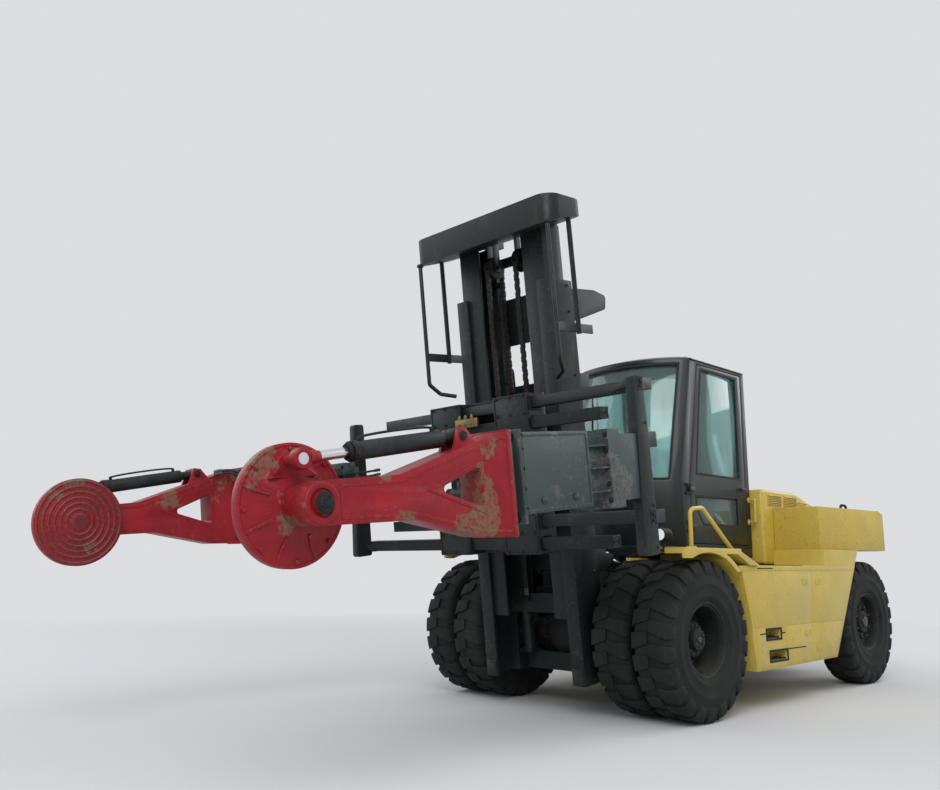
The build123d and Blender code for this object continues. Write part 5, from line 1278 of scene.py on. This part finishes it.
class HANDLER_OT_mast(bpy.types.Operator):
    """Both masts, crosshead, chains, hoses and cylinders"""
    bl_idname = "tyre_handler.mast"
    bl_label = "Mast"

    def execute(self, context):
        dress_nodes([("outer_mast", "dark_paint", 0.004), ("lift_barrels", "dark_paint", 0.003),
                     ("inner_mast", "dark_paint", 0.004), ("crosshead", "dark_paint", 0.01),
                     ("lift_rods", "rod_chrome", 0.001)])
        for side, sign in SIDES:
            dress_nodes([(f"tilt_cylinder_{side}", "dark_paint", 0.003), (f"tilt_rod_{side}", "rod_chrome", 0.002)])
            formed(mast_bolts).piece(
                f"mast_bolts_{side}", "outer_mast", "dark_paint", lean=True, bevel=0.0008, segments=1, mirror=sign < 0)
            formed(gland, (sign * 0.36, 0.332, 2.79), (0, 0, 1), 0.06, 0.0355).piece(
                f"lift_gland_{side}", "outer_mast", "black_steel", lean=True, bevel=0.001)
            form = Form()
            for z in (0.35, 1.25, 2.15):
                form.band("z", sign * 0.292, sign * 0.428, 0.268, 0.402, 0.007, z - 0.02, z + 0.02)
            form.pipe([(sign * x, y, z) for x, y, z in (
                (0.296, 0.33, 0.1), (0.27, 0.335, 0.1), (0.262, 0.335, 0.2), (0.262, 0.335, 1.3),
                (0.262, 0.335, 2.52), (0.27, 0.335, 2.62), (0.302, 0.332, 2.62))], 0.01)
            form.piece(f"lift_pipe_{side}", "outer_mast", "black_steel", lean=True, bevel=0.001)
            form = Form()
            chain_links(form, sign * CHAIN_X, 0.0, 0.8, SHEAVE_Z)
            chain_bend(form, sign * CHAIN_X, SHEAVE_Y, SHEAVE_Z, 0.1)
            chain_links(form, sign * CHAIN_X, 0.2, 2.36, SHEAVE_Z)
            chain = form.piece(f"leaf_chain_{side}", "inner_mast", "chain_steel", lean=True, bevel=0.0006, segments=1)
            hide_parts("lift_chains")
            form = Form()
            for x in (CHAIN_X - 0.032, CHAIN_X + 0.032):
                form.turned([(-0.003, 0.03), (-0.003, 0.112), (0.003, 0.112), (0.003, 0.03)],
                            (sign * x, SHEAVE_Y, SHEAVE_Z), "x", 40)
            for x0, x1 in ((0.126, 0.118), (0.24, 0.252)):
                form.bar((sign * x0, SHEAVE_Y, SHEAVE_Z), (sign * x1, SHEAVE_Y, SHEAVE_Z), 0.026, sides=6)
            form.piece(f"sheave_flanges_{side}", "inner_mast", "black_steel", lean=True, bevel=0.0015)
            form = Form()
            for y, z in ((-0.285, 3.9985), (0.18, 3.9895)):
                form.bolts([(sign * x, y, z) for x in (0.42, 0.62)], UP, 0.014, 0.009)
            form.turned([(0.0, 0.034), (0.02, 0.034), (0.024, 0.028)], (sign * 0.85, -0.285, 3.73), "z", 24,
                        closed=False)
            form.piece(f"crosshead_bolts_{side}", "inner_mast", "black_steel", lean=True, bevel=0.001, segments=1)
            way = (MAST @ TILT_EYE - TILT_FOOT).normalized()
            root = TILT_FOOT + Vector((sign * 0.52, 0, 0))
            form = formed(gland, root + way * 0.72, way, 0.072, 0.0408, 0.045)
            for along in (0.22, 0.62):
                at = root + way * along
                form.bar(at + Vector((0, 0.02, 0.06)), at + Vector((0, 0.03, 0.094)), 0.014, sides=6)
            form.pipe([root + way * along + Vector((0, 0.03, up))
                       for along, up in ((0.22, 0.09), (0.3, 0.105), (0.5, 0.105), (0.62, 0.09))], 0.008)
            form.piece(f"tilt_gland_{side}", f"tilt_cylinder_{side}", "black_steel", bevel=0.001)
            form = formed(pin_cap, TILT_FOOT + Vector((sign * 0.5605, 0, 0)), (sign, 0, 0), 0.035)
            pin_cap(form, MAST @ Vector((sign * 0.5975, 0.36, 0)), (sign, 0, 0), 0.038)
            form.piece(f"mast_pin_caps_{side}", "root", "bolt_steel", bevel=0.0008)
        for name, xs, radius in (("mast", (-0.2235, -0.2415, -0.2595), 0.0082), ("lift", (0.232, 0.257), 0.0088)):
            for k, x in enumerate(xs):
                hose(f"{name}_hose_{k}", "inner_mast",
                     [(x, 0.219, 0.385), (x, 0.219, 1.3), (x, 0.22, 2.3), (x, 0.219, 3.435)], radius)
        form = Form()
        for x0, x1 in ((-0.273, -0.212), (0.218, 0.273)):
            form.block(x0, x1, 0.198, 0.2345, 3.425, 3.485)
            form.block(x0, x1, 0.198, 0.2365, 0.325, 0.385)
            form.bolts([(x, 0.199, z) for x in (x0 + 0.018, x1 - 0.018) for z in (3.455, 0.355)], (0, -1, 0), 0.008,
                       0.009)
        form.piece("hose_manifold", "inner_mast", "black_steel", lean=True, bevel=0.003)
        form = Form()
        for z in (0.9, 1.65, 2.45, 3.1):
            form.band("z", -0.271, -0.2125, 0.2075, 0.231, 0.003, z, z + 0.03)
            form.bolt((-0.2415, 0.208, z + 0.015), (0, -1, 0), 0.007, 0.006)
        form.piece("hose_clamps", "inner_mast", "bolt_steel", lean=True, bevel=0.001)
        return {"FINISHED"}


def arm_fasteners(form):
    """Nuts, studs and washers of the arm's bolted joints, left side."""
    for x in (1.5, 1.58, 1.66, 1.705):
        for z in (1.235, 1.775):
            form.bar((x, -2.044, z), (x, -1.925, z), 0.013, sides=16)
            for y, way, radius, height in ((-1.93, -1, 0.021, 0.02), (-2.04, 1, 0.021, 0.018),
                                           (-2.08, -1, 0.02, 0.02)):
                form.bolt((x, y, z), (0, way, 0), radius, height)
    for x, rear_x, rear_radius in ((1.455, 1.455, 0.014), (1.77, 1.76, 0.012)):
        for z in (1.3, 1.43, 1.56, 1.69, 1.78):
            form.bolt((x, -2.0795, z), (0, -1, 0), 0.014, 0.014)
            form.bolt((rear_x, -1.9005, z), (0, 1, 0), rear_radius, 0.014)
    form.bolts([(x, -0.9895, z) for z in (1.29, 1.41, 1.53, 1.65, 1.77) for x in (1.445, 1.765)], (0, -1, 0), 0.015,
               0.014)


def arm_ribs(form):
    """Throat ribs, edge bands and plugs of the arm box, left side."""
    for z in (1.36, 1.53, 1.69):
        for root, low, high in ((1.722, 1.748, 1.78), (1.478, 1.45, 1.436)):
            form.prism("z", [(root, -1.172), (low, -1.172), (high, -0.992), (root, -0.992)], z - 0.008, z + 0.008)
    for x in (1.7495, 1.4365):
        form.band("x", -1.885, -1.185, 1.275, 1.785, 0.014, x, x + 0.004)
    form.band("z", 1.455, 1.735, -1.885, -1.185, 0.014, 1.7995, 1.8035)
    for y in (-1.7, -1.36):
        form.turned([(0.0, 0.026), (0.006, 0.026), (0.01, 0.014), (0.018, 0.012), (0.022, 0.006)], (1.7505, y, 1.34),
                    "x", 20, closed=False)


def arm_skin(form):
    """Raised bands round the tapered arm, its opening and its pin, left side."""
    band = [(-2.065, 1.165), (-2.065, 1.772), (-2.148, 1.772), (-2.975, 1.548), (-3.4, 1.545), (-3.4, 1.356),
            (-3.083, 1.342), (-2.866, 1.334), (-2.337, 1.188)]
    window = [(-2.322, 1.612), (-2.322, 1.318), (-2.735, 1.47)]
    for outline, width, outer, inner in ((band, 0.02, (1.7985, 1.803), (1.597, 1.6015)),
                                         (window, -0.016, (1.7985, 1.8035), (1.5965, 1.6015))):
        form.ring("x", outline, width, *outer)
        form.ring("x", outline, width, *inner)
    form.turned([(-0.004, 0.112), (-0.004, 0.074), (0.006, 0.074), (0.01, 0.08), (0.01, 0.106), (0.004, 0.112)],
                (1.8, TIP_Y, TIP_Z), "x", 48)


def pad_face(form):
    """Concentric gripping ridges, screws and hub of the clamp pad, left side."""
    centre = (0, TIP_Y, TIP_Z)
    for ring in (0.332, 0.288, 0.244, 0.2, 0.156, 0.112):
        form.turned([(1.476, ring), (1.4705, ring - 0.004), (1.4665, ring - 0.012), (1.4705, ring - 0.02),
                     (1.476, ring - 0.024)], centre, "x", 72)
    for at in circle((1.4745, TIP_Y, TIP_Z), "x", 0.266, turns(12, 0.2)):
        form.bar(at + Vector((0.004, 0, 0)), at - Vector((0.004, 0, 0)), 0.013, 0.011, sides=16)
    form.turned([(1.476, 0.07), (1.47, 0.066), (1.468, 0.04), (1.471, 0.02)], centre, "x", 40, closed=False)


def pad_back(form):
    """Stiffening ribs and screws behind the pad, left side."""
    centre = Vector((0, TIP_Y, TIP_Z))
    profile = ((0.19, 1.525), (0.322, 1.525), (0.322, 1.534), (0.258, 1.538), (0.18, 1.575))
    for turn in turns(8, math.pi / 8):
        out = Vector((0, math.cos(turn), math.sin(turn)))
        side = Vector((0, -math.sin(turn), math.cos(turn)))
        near, far = ([form.bm.verts.new(centre + out * r + side * k + Vector((x, 0, 0))) for r, x in profile]
                     for k in (-0.008, 0.008))
        form.solid(near, far)
    form.bolts(circle((1.5295, TIP_Y, TIP_Z), "x", 0.305, turns(8, math.pi / 4)), (1, 0, 0), 0.014, 0.013)
    form.turned([(1.529, 0.336), (1.533, 0.33), (1.533, 0.322), (1.529, 0.316)], centre, "x", 72)


def slide_pads(form, bars):
    """Bolts, edge bands and wear pad frames of the slide housings, left side."""
    for low, high in ((1.93, 2.2), (0.89, 1.18)):
        for z in (low - 0.022, (low + high) / 2, high + 0.022):
            for x in (0.26, 0.42, 0.58):
                form.bolt((x, -0.5155, z), (0, -1, 0), 0.013, 0.012)
        form.band("y", 0.232, 0.608, low - 0.034, high + 0.034, 0.01, -0.519, -0.5145)
    for z0, z1 in bars:
        form.band("x", -0.486, -0.334, z0 - 0.018, z1 + 0.018, 0.0125, 0.618, 0.634)
        for y, z in ((-0.48, z0 - 0.012), (-0.34, z1 + 0.012)):
            form.bolt((0.632, y, z), (1, 0, 0), 0.006, 0.007)


def carrier_trim(form, bars, clamp_z):
    """Ends of the slide bars, bolts and the clamp rod's nut on the arm carrier, left side."""
    for z0, z1 in bars:
        middle = (z0 + z1) / 2
        form.band("x", -0.56, -0.49, z0 - 0.01, z1 + 0.01, 0.01, 1.7995, 1.8035)
        form.bolts([(1.7995, -0.525, middle - 0.022), (1.7995, -0.525, middle + 0.022)], (1, 0, 0), 0.013, 0.012)
        form.band("x", -0.467, -0.353, z0 + 0.003, z1 - 0.003, 0.012, -1.354, -1.348)
        form.bolts([(-1.35, -0.435, middle), (-1.35, -0.385, middle)], (-1, 0, 0), 0.01, 0.009)
    form.bar((1.715, CLAMP_Y, clamp_z), (1.736, CLAMP_Y, clamp_z), 0.05, sides=6)
    for z in (0.9, 1.22, 1.85, 2.16):
        form.bolt((1.7995, -0.505, z), (1, 0, 0), 0.01, 0.01)


class HANDLER_OT_attachment(bpy.types.Operator):
    """Carriage, slide frame, arms and pads with their bolts, hoses and cylinders"""
    bl_idname = "tyre_handler.attachment"
    bl_label = "Attachment"

    def execute(self, context):
        dress_nodes([("carriage", "dark_paint", 0.004), ("slide_frame", "dark_paint", 0.005),
                     ("clamp_barrels", "dark_paint", 0.002)])
        pin = Vector((1.7, -2.435, 1.785))
        crank = Vector((1.7, -3.565, 1.69))
        way = (crank - pin).normalized()
        for side, sign in SIDES:
            flip = sign < 0
            arm, pad = f"arm_{side}", f"pad_{side}"
            bars, clamp_z = (RIGHT_BARS, 1.4) if flip else (LEFT_BARS, 1.72)
            dress_nodes([(f"arm_carrier_{side}", "dark_paint", 0.006), (f"arm_box_{side}", "grey_paint", 0.006),
                         (arm, "red_paint", 0.01), (pad, "red_paint", 0.01),
                         (f"pad_cylinder_{side}", "dark_paint", 0.003), (f"pad_rod_{side}", "rod_chrome", 0.003)])
            for name, body, finish, slot, bevel, make, *given in (
                ("arm_fasteners", arm, "black_steel", None, 0.001, arm_fasteners),
                ("arm_ribs", arm, "grey_paint", None, 0.002, arm_ribs),
                ("arm_skin", arm, "red_paint", None, 0.0015, arm_skin),
                ("pad_ridges", pad, "cast_rubbed", "red_paint", 0.0008, pad_face),
                ("pad_ribs", pad, "red_paint", None, 0.0015, pad_back),
                ("slide_pads", "carriage", "black_steel", None, 0.001, slide_pads, bars),
                ("carrier_trim", arm, "dark_paint", None, 0.0012, carrier_trim, bars, clamp_z),
            ):
                formed(make, *given).piece(
                    f"{name}_{side}", body, finish, slot, lean=True, bevel=bevel, segments=1, mirror=flip)
            formed(pin_cap, (1.8245, TIP_Y, TIP_Z), (1, 0, 0), 0.06).piece(
                f"tip_pin_cap_{side}", pad, "black_steel", lean=True, bevel=0.0015, mirror=flip)
            form = Form()
            for k in (-1, 1):
                pin_cap(form, pin + Vector((0.0745 * k, 0, 0)), (k, 0, 0), 0.03)
            form.piece(f"lug_pin_caps_{side}", arm, "black_steel", lean=True, bevel=0.001, mirror=flip)
            formed(gland, pin + way * 0.79, way, 0.054, 0.0308, 0.04).piece(
                f"pad_gland_{side}", f"pad_cylinder_{side}", "black_steel", lean=True, bevel=0.001, mirror=flip)
            form = Form()
            for along in (0.19, 0.74):
                at = pin + way * along
                form.bar(at + UP * 0.046, at + UP * 0.078, 0.014, sides=6)
            form.pipe([pin + way * along + UP * up
                       for along, up in ((0.19, 0.074), (0.24, 0.086), (0.66, 0.086), (0.74, 0.074))], 0.008)
            form.piece(f"pad_cylinder_pipe_{side}", f"pad_cylinder_{side}", "black_steel", lean=True, bevel=0.001,
                       mirror=flip)
            form = Form()
            form.turned([(-0.032, 0.056), (-0.032, 0.032), (0.032, 0.032), (0.032, 0.056), (0.024, 0.0585),
                         (-0.024, 0.0585)], crank, "x", 40)
            form.bar(crank - way * 0.115, crank - way * 0.045, 0.032, 0.04, sides=28)
            form.piece(f"rod_eye_{side}", f"pad_rod_{side}", "red_paint", "rod_chrome", lean=True, bevel=0.002,
                       mirror=flip)
            for k in range(2):
                z = 1.7 - 0.045 * k
                points = [(1.42, -0.55, z + 0.02), (1.4, -0.75, z), (1.405, -1.1, z - 0.01), (1.408, -1.5, z),
                          (1.408, -1.85, z), (1.43, -2.06, z + 0.03), (1.53, -2.16, 1.815 - 0.02 * k),
                          (1.56, -2.3, 1.79 - 0.02 * k)]
                hose(f"arm_hose_{side}_{k}", arm, [(sign * x, y, zz) for x, y, zz in points], 0.011)
            form = Form()
            for y in (-1.25, -1.75):
                form.band("y", 1.39, 1.43, 1.63, 1.722, 0.005, y, y + 0.03)
                form.bolt((1.391, y + 0.015, 1.678), (-1, 0, 0), 0.007, 0.008)
                form.block(1.428, 1.442, y, y + 0.03, 1.64, 1.712)
            form.piece(f"arm_hose_clamps_{side}", arm, "bolt_steel", lean=True, bevel=0.001, mirror=flip)
            form = formed(gland, (sign * 0.54, CLAMP_Y, clamp_z), (sign, 0, 0), 0.062, 0.0358, 0.018)
            for x in (sign * -0.5, sign * 0.48):
                form.bar((x, CLAMP_Y, clamp_z + 0.055), (x, CLAMP_Y, clamp_z + 0.086), 0.015, sides=6)
            form.piece(f"clamp_gland_{side}", "carriage", "black_steel", lean=True, bevel=0.001)
        for k, (x, port) in enumerate(((-0.12, -0.42), (-0.04, -0.44), (0.04, 0.44), (0.12, 0.42))):
            up = k in (1, 2)
            start, level, end = (1.595, 1.612, 1.654) if up else (1.525, 1.508, 1.466)
            hose(f"carriage_hose_{k}", "carriage",
                 [(x, -0.332, start), (x, -0.334, level), (x * 1.6, -0.36, level), (port * 0.7, -0.405, level),
                  (port, CLAMP_Y, level), (port, CLAMP_Y, end)], 0.01)
        form = Form()
        form.block(-0.16, 0.16, -0.352, -0.313, 1.525, 1.595)
        for x in (-0.14, -0.08, 0.0, 0.08, 0.14):
            form.bolt((x, -0.3515, 1.56), (0, -1, 0), 0.01, 0.01)
        form.prism("z", [(-0.262, -0.5165), (0.03, -0.5165), (0.03, -0.54), (0.01, -0.552), (-0.24, -0.552),
                         (-0.262, -0.54)], 2.01, 2.09)
        for x in (-0.2, -0.12, -0.04):
            form.turned([(0.0, 0.018), (0.022, 0.018), (0.026, 0.012), (0.04, 0.012)], (x, -0.534, 2.088), "z", 18,
                        closed=False)
            form.bolt((x, -0.5515, 2.04), (0, -1, 0), 0.01, 0.01)
        form.piece("hose_blocks", "carriage", "brass", "chain_steel", lean=True, bevel=0.0025)
        return {"FINISHED"}


def seen_rays(wires):
    """A mask of the rays that show the backdrop: to the camera, through glass and in reflections."""
    rays = wires.node("ShaderNodeLightPath")
    seen = wires.maths("MAXIMUM", rays.outputs["Is Camera Ray"], rays.outputs["Is Transmission Ray"])
    return wires.maths("MAXIMUM", seen, rays.outputs["Is Glossy Ray"])


def blend_shaders(wires, factor, first, second, target):
    """Joins a mix of two shaders to an output socket."""
    blend = wires.node("ShaderNodeMixShader")
    for source, socket in zip((factor, first, second), blend.inputs):
        wires.link(source, socket)
    wires.link(blend.outputs[0], target)


class HANDLER_OT_stage(bpy.types.Operator):
    """Floor, light and camera"""
    bl_idname = "tyre_handler.stage"
    bl_label = "Stage"

    def execute(self, context):
        scene = context.scene
        scene.view_settings.view_transform = "Standard"
        floor_mesh = bpy.data.meshes.new("floor")
        reach = 120.0
        floor_mesh.from_pydata([(-reach, -reach, 0), (reach, -reach, 0), (reach, reach, 0), (-reach, reach, 0)], [],
                               [(0, 1, 2, 3)])
        floor = bpy.data.objects.new("floor", floor_mesh)
        scene.collection.objects.link(floor)
        made, wires, shader = new_material("studio_floor")
        wires.fill(shader, Base_Color=(0.64, 0.645, 0.655), Roughness=0.9, Specular_IOR_Level=0.1)
        away = wires.node("ShaderNodeVectorMath", operation="LENGTH")
        wires.link(wires.place(), away.inputs[0])
        plain = wires.fill(wires.node("ShaderNodeEmission"), Color=BACKGROUND)
        fade = wires.maths("MULTIPLY", wires.span(away.outputs["Value"], 6.0, 16.0), seen_rays(wires))
        blend_shaders(wires, fade, shader.outputs[0], plain.outputs[0],
                      made.node_tree.nodes["Material Output"].inputs[0])
        floor_mesh.materials.append(made)
        world = bpy.data.worlds.new("studio")
        scene.world = world
        world.use_nodes = True
        wires = Wires(world.node_tree)
        sky = world.node_tree.nodes["Background"]
        shown = wires.fill(wires.node("ShaderNodeBackground"), Color=BACKGROUND)
        wires.fill(sky, Color=(0.93, 0.96, 1.0), Strength=0.62)
        blend_shaders(wires, seen_rays(wires), sky.outputs[0], shown.outputs[0],
                      world.node_tree.nodes["World Output"].inputs[0])
        for name, place, size, power, colour in (
            ("key", (9.0, -11.0, 12.0), 9.0, 1500.0, (1.0, 0.98, 0.95)),
            ("fill", (-12.0, -6.0, 8.0), 10.0, 500.0, (0.92, 0.96, 1.0)),
            ("back", (4.0, 13.0, 10.0), 9.0, 700.0, (1.0, 1.0, 1.0)),
        ):
            light = bpy.data.lights.new(name, "AREA")
            light.size = size
            light.energy = power
            light.color = colour
            lamp = bpy.data.objects.new(name, light)
            lamp.location = place
            lamp.rotation_euler = (Vector((0, -0.5, 1.2)) - Vector(place)).to_track_quat("-Z", "Y").to_euler()
            scene.collection.objects.link(lamp)
        camera_data = bpy.data.cameras.new("photo_view")
        camera_data.lens = props().focal
        camera_data.sensor_width = 36.0
        camera = bpy.data.objects.new("photo_view", camera_data)
        right, up = Vector(CAMERA_RIGHT), Vector(CAMERA_UP)
        turn = Matrix((right, up, right.cross(up))).transposed()
        camera.matrix_world = Matrix.Translation(CAMERA_PLACE) @ turn.to_4x4()
        scene.collection.objects.link(camera)
        scene.camera = camera
        return {"FINISHED"}


STEPS = (HANDLER_OT_stage, HANDLER_OT_tyres, HANDLER_OT_rims, HANDLER_OT_running_gear, HANDLER_OT_bodywork,
         HANDLER_OT_cab, HANDLER_OT_mast, HANDLER_OT_attachment)


class HANDLER_PT_panel(bpy.types.Panel):
    """Settings and steps of the tyre handler"""
    bl_idname = "HANDLER_PT_panel"
    bl_label = "Tyre handler"
    bl_space_type = "VIEW_3D"
    bl_region_type = "UI"
    bl_category = "Tyre handler"

    def draw(self, context):
        for name in HandlerSettings.__annotations__:
            self.layout.prop(context.scene.tyre_handler, name)
        for step in STEPS:
            self.layout.operator(step.bl_idname)


CLASSES = (HandlerSettings, *STEPS, HANDLER_PT_panel)


def register():
    for one in CLASSES:
        bpy.utils.register_class(one)
    bpy.types.Scene.tyre_handler = bpy.props.PointerProperty(type=HandlerSettings)


def unregister():
    del bpy.types.Scene.tyre_handler
    for one in reversed(CLASSES):
        bpy.utils.unregister_class(one)


def main():
    """Builds every piece."""
    register()
    make_finishes()
    for step in STEPS:
        group, name = step.bl_idname.split(".")
        getattr(getattr(bpy.ops, group), name)()


if __name__ == "__main__":
    main()
